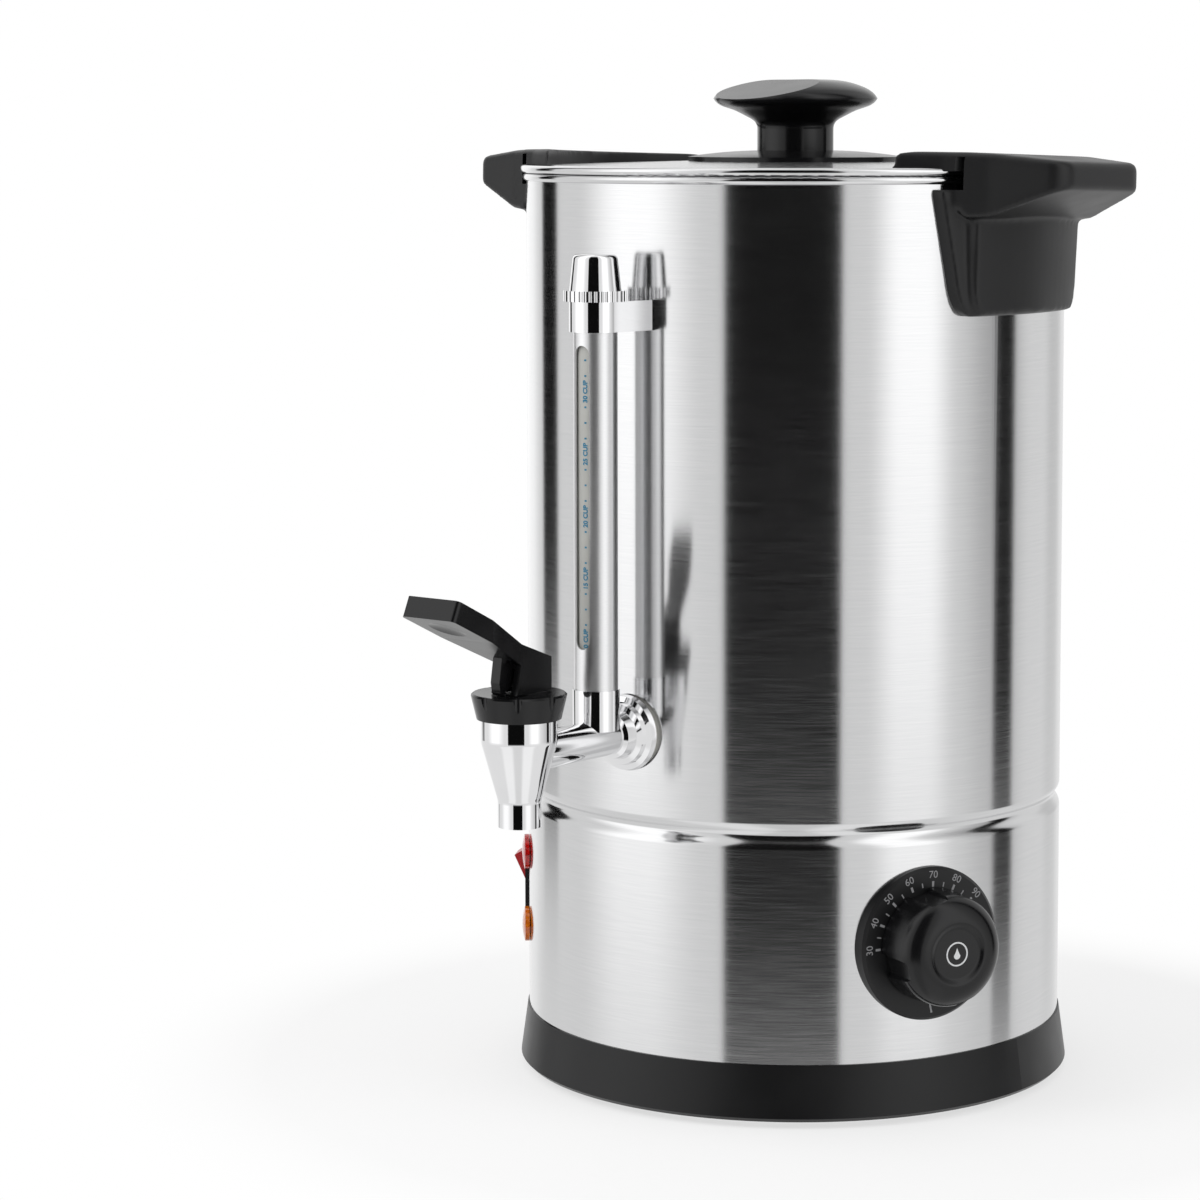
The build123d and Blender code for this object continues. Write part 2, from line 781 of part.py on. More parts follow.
def handle_body():
    """Right-hand handle: grip plate, rim overhang and mounting block."""
    with BuildPart() as handle:
        with BuildSketch(Plane.XZ):
            with BuildLine():
                FilletPolyline(
                    (handle_inner_x - block_lap, handle_top_z),
                    (block_top_radius, handle_top_z),
                    (handle_end_x, end_top_z),
                    radius=handle_bend,
                )
                Polyline(
                    (handle_end_x, end_top_z),
                    (handle_end_x, end_top_z - handle_end),
                    (block_top_radius, handle_under_z),
                    (shell_radius, handle_under_z),
                    (handle_inner_x - block_lap, notch_top_z),
                    (handle_inner_x - block_lap, handle_top_z),
                )
            make_face()
        extrude(amount=handle_inner_half, both=True)
        with BuildSketch(Plane.XY):
            with BuildLine():
                Polyline(
                    (handle_inner_x, -handle_inner_half),
                    (handle_end_x, -handle_outer_half),
                    (handle_end_x, handle_outer_half),
                    (handle_inner_x, handle_inner_half),
                )
                RadiusArc(
                    (handle_inner_x, handle_inner_half),
                    (handle_inner_x, -handle_inner_half),
                    handle_inner_radius,
                )
            make_face()
            far = vertices().group_by(Axis.X)[-1]
            fillet(far, handle_corner)
        extrude(amount=tall, mode=Mode.INTERSECT)
        walls = faces().filter_by(lambda face: abs(face.normal_at().Z) < 0.1)
        outer_walls = walls.sort_by(Axis.X)[1:]
        crown = faces().filter_by(lambda face: face.normal_at().Z > 0.9).edges()
        fillet(outer_walls.edges().filter_by(lambda edge: edge in crown), handle_round)
        with BuildPart(mode=Mode.PRIVATE) as block:
            with BuildSketch(Plane.YZ.offset(shell_radius - block_root)):
                with BuildLine():
                    Polyline(
                        (-block_top_half, handle_under_z + block_lap),
                        (block_top_half, handle_under_z + block_lap),
                        (block_bottom_half, block_bottom_z),
                        (-block_bottom_half, block_bottom_z),
                        close=True,
                    )
                make_face()
                low = vertices().group_by(Axis.Z)[0]
                fillet(low, block_corner)
            extrude(amount=block_root + block_reach, taper=block_draft)
            with BuildSketch(Plane.XZ):
                with BuildLine():
                    Polyline(
                        (shell_radius - 2 * block_root, block_bottom_z),
                        (block_bottom_radius, block_bottom_z),
                        (block_top_radius, handle_under_z),
                        (block_top_radius, handle_under_z + block_lap),
                        (shell_radius - 2 * block_root, handle_under_z + block_lap),
                        close=True,
                    )
                make_face()
            revolve(axis=Axis.Z, mode=Mode.INTERSECT)
        add(block.part)
        with BuildSketch(Plane.XZ):
            with Locations(*rib_spots):
                Circle(grip_rib_radius)
        extrude(amount=grip_rib_half, both=True)
        with BuildSketch(Plane.XY):
            Circle(shell_radius + seat_gap)
        extrude(amount=notch_low_z + end_gap, mode=Mode.SUBTRACT)
        with BuildSketch(Plane.XY.offset(notch_low_z)):
            Circle(shell_radius + notch_depth)
        extrude(amount=notch_top_z - notch_low_z, mode=Mode.SUBTRACT)
        for turn in (90 - handle_screw_angle, 90 + handle_screw_angle):
            with BuildSketch(wall_plane(turn, handle_screw_z, shell_inner)):
                Circle(handle_screw_radius + fit_gap)
        extrude(amount=handle_screw_length, mode=Mode.SUBTRACT)
    return handle.part


right_blank = handle_body()
with BuildPart() as handle_right:
    add(right_blank)
save(handle_right, "handle_right")

with BuildPart() as handle_left:
    add(mirror(right_blank, about=Plane.YZ))
save(handle_left, "handle_left")

with BuildPart() as handle_screws:
    for turn in handle_screw_angles:
        head_plane = wall_plane(turn, handle_screw_z, shell_inner - seat_gap)
        with BuildSketch(head_plane):
            Circle(2 * handle_screw_radius)
        extrude(amount=-handle_screw_radius)
        with BuildSketch(head_plane):
            Circle(handle_screw_radius)
        extrude(amount=handle_screw_length - end_gap)
save(handle_screws, "handle_screws")

# ==== tap =====================================================================
flange_face = shell_radius + gasket_thickness
tail_end = tank_radius - tail_inside
plug_end = shank_joint + shank_plug_length

with BuildPart() as tap_shank:
    with BuildSketch(Plane.YZ):
        with BuildLine():
            Polyline(
                (-tail_end, pipe_z),
                (-tail_end, pipe_z + tail_radius),
                (-flange_face, pipe_z + tail_radius),
                (-flange_face, pipe_z + flange_radius),
                *[(-flange_face - along, pipe_z + flange_radius - drop) for along, drop in flange_steps],
                (-flange_face - flange_length, pipe_z + pipe_radius),
                (-shank_joint, pipe_z + pipe_radius),
                (-shank_joint, pipe_z + shank_plug_radius),
                (-plug_end, pipe_z + shank_plug_radius),
                (-plug_end, pipe_z),
                close=True,
            )
        make_face()
    revolve(axis=Axis((0, 0, pipe_z), (0, 1, 0)))
    with BuildSketch(Plane.XY.offset(pipe_z + socket_low)):
        with Locations((0, -gauge_reach)):
            Circle(socket_radius)
    extrude(amount=socket_top_z - pipe_z - socket_low)
    with BuildSketch(Plane.XZ.offset(tail_end - end_gap)):
        with Locations((0, pipe_z)):
            Circle(pipe_bore)
    extrude(amount=plug_end - tail_end + 2 * end_gap, mode=Mode.SUBTRACT)
    with BuildSketch(Plane.XY.offset(pipe_z)):
        with Locations((0, -gauge_reach)):
            Circle(riser_bore)
    extrude(amount=socket_top_z - pipe_z, mode=Mode.SUBTRACT)
    with BuildSketch(Plane.XY.offset(glass_low_z)):
        with Locations((0, -gauge_reach)):
            Circle(glass_radius + seal_width + fit_gap)
    extrude(amount=socket_top_z - glass_low_z, mode=Mode.SUBTRACT)
save(tap_shank, "tap_shank")

with BuildPart() as tap_gaskets:
    with BuildSketch(Plane.XZ.offset(tank_radius - gasket_thickness - curve_allowance)):
        with Locations((0, pipe_z)):
            Circle(tail_radius + gasket_width)
            Circle(tail_radius + fit_gap, mode=Mode.SUBTRACT)
    extrude(amount=gasket_thickness + curve_allowance)
    with BuildSketch(Plane.XY):
        Circle(tank_radius - seat_gap)
    extrude(amount=tall, mode=Mode.INTERSECT)
    with BuildPart(mode=Mode.PRIVATE) as front_gasket:
        with BuildSketch(Plane.XZ.offset(shell_radius - 2 * gasket_thickness)):
            with Locations((0, pipe_z)):
                Circle(flange_radius - gasket_margin)
                Circle(tail_radius + fit_gap, mode=Mode.SUBTRACT)
        extrude(amount=3 * gasket_thickness)
        with BuildSketch(Plane.XY):
            Circle(shell_radius + seat_gap)
        extrude(amount=tall, mode=Mode.SUBTRACT)
    add(front_gasket.part)
save(tap_gaskets, "tap_gaskets")

nut_face = tank_radius - gasket_thickness - curve_allowance
with BuildPart() as tap_tail_nut:
    with BuildSketch(Plane.XZ.offset(nut_face)):
        with Locations((0, pipe_z)):
            RegularPolygon(tail_nut_flats / 2, 6, major_radius=False)
            Circle(tail_radius + fit_gap, mode=Mode.SUBTRACT)
    extrude(amount=-tail_nut_height)
save(tap_tail_nut, "tap_tail_nut")

valve_plane = Plane(origin=(0, -tap_reach, 0), x_dir=(1, 0, 0), z_dir=(0, -1, 0))
valve_axis = Axis((0, -tap_reach, 0), (0, 0, 1))
bonnet_wall_z = barrel_top_z + seat_gap
skin_top_z = bonnet_bottom_z + bonnet_lap
thread_radius = barrel_radius - thread_depth
with BuildPart() as tap_body:
    with BuildSketch(valve_plane):
        with BuildLine():
            FilletPolyline(
                (spout_radius, spout_bottom_z),
                (spout_radius, spout_neck_z),
                (barrel_radius, barrel_shoulder_z),
                (barrel_radius, skin_top_z),
                radius=barrel_round,
            )
            Polyline(
                (barrel_radius, skin_top_z),
                (thread_radius, skin_top_z),
                (thread_radius, barrel_top_z),
                (0, barrel_top_z),
                (0, spout_bottom_z),
                (spout_radius, spout_bottom_z),
            )
        make_face()
    revolve(axis=valve_axis)
    with BuildSketch(Plane.XZ.offset(shank_joint)):
        with Locations((0, pipe_z)):
            Circle(pipe_radius)
    extrude(amount=joint_setback)
    with BuildSketch(Plane.XZ.offset(shank_joint)):
        with Locations((0, pipe_z)):
            Circle(shank_plug_radius + fit_gap)
    extrude(amount=shank_plug_length + fit_gap, mode=Mode.SUBTRACT)
    with BuildSketch(Plane.XZ.offset(shank_joint)):
        with Locations((0, pipe_z)):
            Circle(pipe_bore)
    extrude(amount=joint_setback, mode=Mode.SUBTRACT)
    with BuildSketch(valve_plane):
        with BuildLine():
            Polyline(
                (0, barrel_top_z),
                (chamber_radius, barrel_top_z),
                (chamber_radius, seat_z),
                (spout_bore, seat_z),
                (spout_bore, spout_bottom_z),
                (0, spout_bottom_z),
                close=True,
            )
        make_face()
    revolve(axis=valve_axis, mode=Mode.SUBTRACT)
save(tap_body, "tap_body")

with BuildPart() as tap_bonnet:
    with BuildSketch(valve_plane):
        with BuildLine():
            Polyline(
                (boot_radius + run_gap, bonnet_top_z),
                (bonnet_top_radius - bonnet_edge, bonnet_top_z),
                (bonnet_top_radius, bonnet_top_z - bonnet_edge),
                (bonnet_bottom_radius, bonnet_bottom_z),
                (thread_radius + fit_gap, bonnet_bottom_z),
                (thread_radius + fit_gap, bonnet_wall_z),
                (boot_radius + run_gap, bonnet_wall_z),
                close=True,
            )
        make_face()
    revolve(axis=valve_axis)
    with BuildSketch(Plane.XY.offset(bonnet_bottom_z)):
        with Locations((0, -tap_reach)):
            Circle(barrel_radius + fit_gap)
    extrude(amount=bonnet_lap + seat_gap, mode=Mode.SUBTRACT)
    with BuildSketch(Plane.XY.offset(bonnet_top_z)):
        with Locations((0, -tap_reach)):
            with PolarLocations(
                bonnet_top_radius + bonnet_flute_radius - bonnet_flute_depth,
                bonnet_flute_count,
                bonnet_flute_turn,
            ):
                Circle(bonnet_flute_radius)
    extrude(amount=bonnet_bottom_z - bonnet_top_z, mode=Mode.SUBTRACT)
save(tap_bonnet, "tap_bonnet")

cup_low_z = seat_z + fit_gap
cup_top_z = cup_low_z + cup_height
stem_foot_z = cup_low_z + cup_lip
head_low_z = pin_z - stem_head_below
stem_top_z = pin_z + stem_head_above
with BuildPart() as seat_cup:
    with BuildSketch(valve_plane):
        with BuildLine():
            Polyline(
                (0, cup_low_z - cup_nose_depth),
                (cup_nose_radius, cup_low_z - cup_nose_depth),
                (spout_bore - cup_nose_gap, cup_low_z),
                (cup_radius, cup_low_z),
                (cup_radius, cup_low_z + cup_lip),
                (cup_radius - cup_lip, cup_top_z),
                (stem_radius + fit_gap, cup_top_z),
                (stem_radius + fit_gap, stem_foot_z - fit_gap),
                (0, stem_foot_z - fit_gap),
                close=True,
            )
        make_face()
    revolve(axis=valve_axis)
save(seat_cup, "seat_cup")

with BuildPart() as tap_stem:
    with BuildSketch(valve_plane):
        with BuildLine():
            Polyline(
                (0, stem_foot_z),
                (stem_radius, stem_foot_z),
                (stem_radius, bonnet_wall_z - boot_length),
                (boot_radius, bonnet_wall_z - boot_length),
                (boot_radius, head_low_z),
                (0, head_low_z),
                close=True,
            )
        make_face()
    revolve(axis=valve_axis)
    with BuildSketch(Plane.XY.offset(head_low_z)):
        with Locations((0, -tap_reach)):
            RectangleRounded(stem_head_width, stem_head_length, stem_head_round)
    extrude(amount=stem_top_z - head_low_z)
    with BuildSketch(Plane.YZ):
        with Locations((-tap_reach, pin_z)):
            Circle(pin_radius + fit_gap)
    extrude(amount=stem_head_width, both=True, mode=Mode.SUBTRACT)
save(tap_stem, "tap_stem")

slot_half = cheek_half - cheek_skin
with BuildPart() as lever_pin:
    with BuildSketch(Plane.YZ):
        with Locations((-tap_reach, pin_z)):
            Circle(pin_radius)
    extrude(amount=slot_half - move_gap, both=True)
save(lever_pin, "lever_pin")

spring_low_z = cup_top_z + spring_wire + seat_gap
spring_high_z = bonnet_wall_z - spring_wire - seat_gap
with BuildPart() as tap_spring:
    with BuildLine(Plane(origin=(0, -tap_reach, spring_low_z))) as spring_path:
        Helix(
            pitch=(spring_high_z - spring_low_z) / spring_turns,
            height=spring_high_z - spring_low_z,
            radius=spring_coil_radius,
        )
    with BuildSketch(Plane(spring_path.line @ 0, z_dir=spring_path.line % 0)):
        RegularPolygon(spring_wire, 6)
    sweep(path=spring_path.line, is_frenet=True)
save(tap_spring, "tap_spring")

# ==== tap lever ===============================================================
floor_z = bonnet_top_z + lever_seat
toe_z = floor_z + toe_radius
toe_y = -tap_reach - toe_reach
pin_lift = toe_reach * radians(lever_swing)
slot_end_y = (
    toe_reach * cos(radians(lever_swing))
    + (pin_z - toe_z + pin_lift) * sin(radians(lever_swing))
    - toe_reach
)
slot_end_z = (
    (pin_z - toe_z + pin_lift) * cos(radians(lever_swing))
    - toe_reach * sin(radians(lever_swing))
    - (pin_z - toe_z)
)
slot_radius = pin_radius + move_gap
cave_half = stem_head_width / 2 + move_gap
cave_top_z = stem_top_z + cave_rise
cave_rear = stem_head_length / 2 + slot_end_y + cave_setback
cheek_top_y = -tap_reach - cheek_front + cheek_lean
cave_front_y = -tap_reach - toe_reach
under_y = -tap_reach - (bend_reach + paddle_tip_reach) / 2
under_z = bonnet_top_z + (bend_top - bend_thickness + paddle_tip_low) / 2
under_run = paddle_tip_reach - bend_reach
under_climb = paddle_tip_low - bend_top + bend_thickness
under_length = sqrt(under_run ** 2 + under_climb ** 2)
dish_ball = (dish_radius ** 2 + dish_depth ** 2) / (2 * dish_depth)
dish_drop = (dish_ball - dish_depth) / under_length

with BuildPart() as tap_lever:
    with BuildSketch(Plane.YZ):
        with BuildLine():
            Polyline(
                (-tap_reach - paddle_reach, bonnet_top_z + paddle_top),
                (-tap_reach - bend_reach, bonnet_top_z + bend_top),
                (-tap_reach - hip_reach, bonnet_top_z + hip_top),
                (-tap_reach + heel_reach, bonnet_top_z + heel_top),
                (-tap_reach + heel_reach, bonnet_top_z + heel_low),
                (-tap_reach - hip_reach, bonnet_top_z + hip_low),
                (-tap_reach - bend_reach, bonnet_top_z + bend_top - bend_thickness),
                (-tap_reach - paddle_tip_reach, bonnet_top_z + paddle_tip_low),
                close=True,
            )
        make_face()
    extrude(amount=paddle_half, both=True)
    with Locations((0, under_y - under_climb * dish_drop, under_z - under_run * dish_drop)):
        Sphere(dish_ball, mode=Mode.SUBTRACT)
    with BuildSketch(Plane.XY):
        with BuildLine():
            Polyline(
                (-paddle_half, -tap_reach - paddle_tip_reach),
                (paddle_half, -tap_reach - paddle_tip_reach),
                (paddle_half, -tap_reach - bend_reach),
                (cheek_half, -tap_reach - hip_reach),
                (cheek_half, -tap_reach + heel_reach),
                (-cheek_half, -tap_reach + heel_reach),
                (-cheek_half, -tap_reach - hip_reach),
                (-paddle_half, -tap_reach - bend_reach),
                close=True,
            )
        make_face()
    extrude(amount=tall, mode=Mode.INTERSECT)
    ends = faces().sort_by(Axis.Y)[0].edges().group_by(Axis.X)
    fillet([*ends[0], *ends[-1]], paddle_corner)
    with BuildSketch(Plane.YZ):
        with BuildLine():
            Polyline(
                (-tap_reach - cheek_front, floor_z),
                (-tap_reach + heel_reach, floor_z),
                (-tap_reach + heel_reach, bonnet_top_z + heel_top),
                (cheek_top_y, bonnet_top_z + (hip_top + hip_low) / 2),
                close=True,
            )
        make_face()
    extrude(amount=cheek_half, both=True)
    with BuildSketch(Plane.YZ):
        with BuildLine():
            Polyline(
                (cave_front_y, floor_z - lever_seat),
                (-tap_reach + cave_rear, floor_z - lever_seat),
                (-tap_reach + cave_rear, cave_top_z),
                (cheek_top_y, cave_top_z),
                (cave_front_y, floor_z + cave_front_rise),
                close=True,
            )
        make_face()
    extrude(amount=cave_half, both=True, mode=Mode.SUBTRACT)
    with BuildSketch(Plane.YZ):
        with BuildLine():
            Polyline(
                (toe_y - toe_radius, toe_z),
                (toe_y + toe_radius, toe_z),
                (cheek_top_y, floor_z + fin_heel_rise),
                (cheek_top_y, bonnet_top_z + hip_top - end_gap),
                (toe_y, bonnet_top_z + hip_top - end_gap),
                (toe_y - toe_radius - fin_foot_lean, floor_z + fin_foot_rise),
                close=True,
            )
        make_face()
        with Locations((toe_y, toe_z)):
            Circle(toe_radius)
    extrude(amount=fin_half, both=True)
    slot_start = Vector(-tap_reach, pin_z)
    slot_stop = Vector(-tap_reach + slot_end_y, pin_z + slot_end_z)
    with BuildSketch(Plane.YZ):
        with Locations(slot_start, slot_stop):
            Circle(slot_radius)
        with BuildLine():
            Polyline(
                (slot_start.X, slot_start.Y - slot_radius),
                (slot_start.X, slot_start.Y + slot_radius),
                (slot_stop.X, slot_stop.Y + slot_radius),
                (slot_stop.X, slot_stop.Y - slot_radius),
                close=True,
            )
        make_face()
    extrude(amount=slot_half, both=True, mode=Mode.SUBTRACT)
save(tap_lever, "tap_lever")

# ==== sight gauge =============================================================
gauge_spot = (0, -gauge_reach)
collar_top_z = shield_top_z + collar_height
neck_high_z = collar_top_z + collar_neck_height
bracket_screw_z = shield_top_z + collar_height / 2
knurl_top_z = collar_top_z + knurl_height
cap_top_z = collar_top_z + cap_height

with BuildPart() as gauge_shield:
    with BuildSketch(Plane.XY.offset(socket_top_z)):
        with Locations(gauge_spot):
            Circle(shield_radius)
            Circle(shield_radius - shield_wall, mode=Mode.SUBTRACT)
    extrude(amount=shield_top_z - socket_top_z)
    with BuildSketch(Plane.XZ.offset(gauge_reach)):
        with Locations((0, (slot_low_z + slot_high_z) / 2)):
            SlotOverall(slot_high_z - slot_low_z, slot_width, rotation=90)
    extrude(amount=2 * shield_radius, mode=Mode.SUBTRACT)
save(gauge_shield, "gauge_shield")

with BuildPart() as gauge_glass:
    with BuildSketch(Plane.XY.offset(glass_low_z + fit_gap)):
        with Locations(gauge_spot):
            Circle(glass_radius)
            Circle(glass_radius - glass_wall, mode=Mode.SUBTRACT)
    extrude(amount=glass_high_z - glass_low_z)
save(gauge_glass, "gauge_glass")

with BuildPart() as gauge_collar:
    with BuildSketch(Plane.XY.offset(shield_top_z)):
        with Locations(gauge_spot):
            Circle(collar_radius)
        with Locations((0, -shell_radius + arm_root / 2)):
            Rectangle(2 * arm_half, arm_root)
        make_hull()
        Circle(shell_radius + seat_gap, mode=Mode.SUBTRACT)
    extrude(amount=collar_height)
    with BuildSketch(Plane.XY.offset(collar_top_z)):
        with Locations(gauge_spot):
            Circle(collar_neck_radius)
    extrude(amount=collar_neck_height)
    with BuildSketch(Plane.XY.offset(shield_top_z)):
        with Locations(gauge_spot):
            Circle(glass_radius + fit_gap)
    extrude(amount=collar_height + collar_neck_height, mode=Mode.SUBTRACT)
    with BuildSketch(Plane.XY.offset(neck_high_z - seal_height)):
        with Locations(gauge_spot):
            Circle(glass_radius + seal_width + fit_gap)
    extrude(amount=seal_height, mode=Mode.SUBTRACT)
    with BuildSketch(wall_plane(0, bracket_screw_z, shell_inner)):
        Circle(bracket_screw_radius + fit_gap)
    extrude(amount=bracket_screw_length, mode=Mode.SUBTRACT)
save(gauge_collar, "gauge_collar")

with BuildPart() as gauge_cap:
    with BuildSketch(Plane.XY.offset(collar_top_z)):
        with Locations(gauge_spot):
            Circle(knurl_radius)
            with PolarLocations(knurl_radius + knurl_notch_out, knurl_count):
                Circle(knurl_notch, mode=Mode.SUBTRACT)
    extrude(amount=knurl_height)
    with BuildSketch(Plane(origin=(0, -gauge_reach, 0), x_dir=(1, 0, 0), z_dir=(0, -1, 0))):
        with BuildLine():
            FilletPolyline(
                (cap_low_radius, knurl_top_z),
                (cap_high_radius, cap_top_z),
                (0, cap_top_z),
                radius=cap_round,
            )
            Polyline((0, cap_top_z), (0, knurl_top_z), (cap_low_radius, knurl_top_z))
        make_face()
    revolve(axis=Axis((0, -gauge_reach, 0), (0, 0, 1)))
    with BuildSketch(Plane.XY.offset(collar_top_z)):
        with Locations(gauge_spot):
            Circle(collar_neck_radius + fit_gap)
    extrude(amount=collar_neck_height + fit_gap, mode=Mode.SUBTRACT)
    with BuildSketch(Plane.XY.offset(collar_top_z)):
        with Locations(gauge_spot):
            Circle(glass_radius + seat_gap)
    extrude(amount=cap_height - cap_roof, mode=Mode.SUBTRACT)
save(gauge_cap, "gauge_cap")

with BuildPart() as gauge_seals:
    for low in (socket_top_z - seal_height, neck_high_z - seal_height + fit_gap):
        with BuildSketch(Plane.XY.offset(low)):
            with Locations(gauge_spot):
                Circle(glass_radius + seal_width)
                Circle(glass_radius + fit_gap / 2, mode=Mode.SUBTRACT)
        extrude(amount=seal_height - fit_gap)
save(gauge_seals, "gauge_seals")

with BuildPart() as bracket_screw:
    screw_plane = wall_plane(0, bracket_screw_z, shell_inner - seat_gap)
    with BuildSketch(screw_plane):
        Circle(2 * bracket_screw_radius)
    extrude(amount=-bracket_screw_radius)
    with BuildSketch(screw_plane):
        Circle(bracket_screw_radius)
    extrude(amount=bracket_screw_length - end_gap)
save(bracket_screw, "bracket_screw")

# ==== dial and thermostat =====================================================
dial_plane = wall_plane(dial_angle, dial_z)
plate_front = dial_plane.offset(dial_plate_proud)
plate_sag = curve_sag(shell_radius, dial_plate_radius)

with BuildPart() as dial_plate:
    with BuildSketch(plate_front):
        Circle(dial_plate_radius)
    extrude(amount=-dial_plate_proud - plate_sag - end_gap)
    front_edge = faces().sort_by(Axis(dial_plane.origin, dial_plane.z_dir))[-1].edges()
    chamfer(front_edge, dial_bevel)
    with BuildSketch(Plane.XY):
        Circle(shell_radius + seat_gap)
    extrude(amount=tall, mode=Mode.SUBTRACT)
    with BuildSketch(plate_front):
        Circle(spindle_radius + move_gap)
        with GridLocations(dial_screw_spacing, 0, 2, 1):
            Circle(dial_screw_radius + fit_gap)
    extrude(amount=-dial_plate_proud - plate_sag, mode=Mode.SUBTRACT)
    with BuildSketch(plate_front):
        with GridLocations(dial_screw_spacing, 0, 2, 1):
            Circle(2 * dial_screw_radius + seat_gap)
    extrude(amount=-dial_screw_radius, mode=Mode.SUBTRACT)
save(dial_plate, "dial_plate")

knob_back = dial_plate_proud + dial_knob_gap
knob_front = knob_back + dial_knob_depth
knob_side_z = knob_back + dial_side_depth
knob_side_radius = dial_knob_radius - dial_side_draft
with BuildPart() as dial_knob:
    with BuildSketch(Plane(dial_plane.origin, dial_plane.x_dir, dial_plane.y_dir * -1)):
        with BuildLine():
            Polyline((0, knob_back), (dial_knob_radius, knob_back), (knob_side_radius, knob_side_z))
            EllipticalCenterArc(
                (dial_face_radius, knob_side_z),
                knob_side_radius - dial_face_radius,
                knob_front - knob_side_z,
                start_angle=0,
                arc_size=90,
            )
            Spline(
                (dial_face_radius, knob_front),
                (dial_dish_radius, knob_front - dial_dish_depth),
                tangents=[(-1, 0), (-1, 0)],
            )
            Polyline(
                (dial_dish_radius, knob_front - dial_dish_depth),
                (0, knob_front - dial_dish_depth),
                (0, knob_back),
            )
        make_face()
    revolve(axis=Axis(dial_plane.origin, dial_plane.z_dir))
    with BuildSketch(dial_plane.offset(knob_back)):
        with PolarLocations(
            dial_knob_radius - (dial_notch_depth - dial_notch_over) / 2,
            dial_notch_count,
            dial_notch_turn,
        ):
            notch_half_depth = (dial_notch_depth + dial_notch_over) / 2
            Polygon(
                (-notch_half_depth, -dial_notch_floor / 2),
                (notch_half_depth, -dial_notch_mouth / 2),
                (notch_half_depth, dial_notch_mouth / 2),
                (-notch_half_depth, dial_notch_floor / 2),
            )
    extrude(amount=dial_knob_depth, mode=Mode.SUBTRACT)
    with BuildSketch(dial_plane.offset(knob_back)):
        Circle(spindle_radius + fit_gap)
    extrude(amount=spindle_grip, mode=Mode.SUBTRACT)
save(dial_knob, "dial_knob")

thermostat_face = -shell_wall - curve_sag(shell_inner, thermostat_half_width) - seat_gap
with BuildPart() as thermostat_body:
    with BuildSketch(dial_plane.offset(thermostat_face)):
        Rectangle(2 * thermostat_half_width, 2 * thermostat_half_height)
    extrude(amount=-thermostat_depth)
    with BuildSketch(dial_plane.offset(thermostat_face)):
        Rectangle(dial_screw_spacing + 2 * thermostat_ear, thermostat_ear_height)
    extrude(amount=-thermostat_ear_thickness)
    with BuildSketch(dial_plane.offset(thermostat_face)):
        Circle(spindle_radius + run_gap)
    extrude(amount=-bush_depth, mode=Mode.SUBTRACT)
    with BuildSketch(dial_plane.offset(thermostat_face)):
        with GridLocations(dial_screw_spacing, 0, 2, 1):
            Circle(dial_screw_radius + fit_gap)
    extrude(amount=-dial_screw_length, mode=Mode.SUBTRACT)
    with BuildSketch(Plane.XY):
        Circle(shell_inner - seat_gap)
    extrude(amount=tall, mode=Mode.INTERSECT)
save(thermostat_body, "thermostat_body")

spindle_top = knob_back + spindle_grip - end_gap
with BuildPart() as thermostat_spindle:
    with BuildSketch(dial_plane.offset(spindle_top)):
        Circle(spindle_radius)
    extrude(amount=thermostat_face - bush_depth + end_gap - spindle_top)
save(thermostat_spindle, "thermostat_spindle")

with BuildPart() as dial_screws:
    head_front = plate_front.offset(-dial_screw_radius)
    with BuildSketch(head_front):
        with GridLocations(dial_screw_spacing, 0, 2, 1):
            Circle(2 * dial_screw_radius)
    extrude(amount=dial_screw_radius - seat_gap)
    with BuildSketch(head_front):
        with GridLocations(dial_screw_spacing, 0, 2, 1):
            Circle(dial_screw_radius)
    extrude(amount=-dial_screw_length)
save(dial_screws, "dial_screws")

# ==== pilot lamps and rocker switch ===========================================
lens_middle = dome_middle(lamp_lens_radius, lamp_lens_edge, lamp_lens_height)


def pilot_lamp(height):
    """Domed lens with a barrel through the casing."""
    plane = wall_plane(lamp_angle, height)
    side = Plane(plane.origin, plane.x_dir, plane.y_dir * -1)
    with BuildPart() as lamp:
        with BuildSketch(side):
            with BuildLine():
                Line((0, seat_gap), (lamp_lens_radius, seat_gap))
                Line((lamp_lens_radius, seat_gap), (lamp_lens_radius, lamp_lens_edge))
                ThreePointArc((lamp_lens_radius, lamp_lens_edge), lens_middle, (0, lamp_lens_height))
                Line((0, lamp_lens_height), (0, seat_gap))
            make_face()
        revolve(axis=Axis(plane.origin, plane.z_dir))
        with BuildSketch(plane.offset(seat_gap)):
            Circle(lamp_barrel_radius)
        extrude(amount=-lamp_depth)
    return lamp.part


with BuildPart() as red_lamp:
    add(pilot_lamp(red_lamp_z))
save(red_lamp, "red_lamp")

with BuildPart() as amber_lamp:
    add(pilot_lamp(amber_lamp_z))
save(amber_lamp, "amber_lamp")

nut_sag = curve_sag(shell_inner, lamp_nut_radius)
with BuildPart() as lamp_nuts:
    for height in (red_lamp_z, amber_lamp_z):
        with BuildSketch(wall_plane(lamp_angle, height, shell_inner - nut_sag - seat_gap)):
            RegularPolygon(lamp_nut_radius, 6)
            Circle(lamp_barrel_radius + fit_gap, mode=Mode.SUBTRACT)
        extrude(amount=-lamp_nut_height)
save(lamp_nuts, "lamp_nuts")

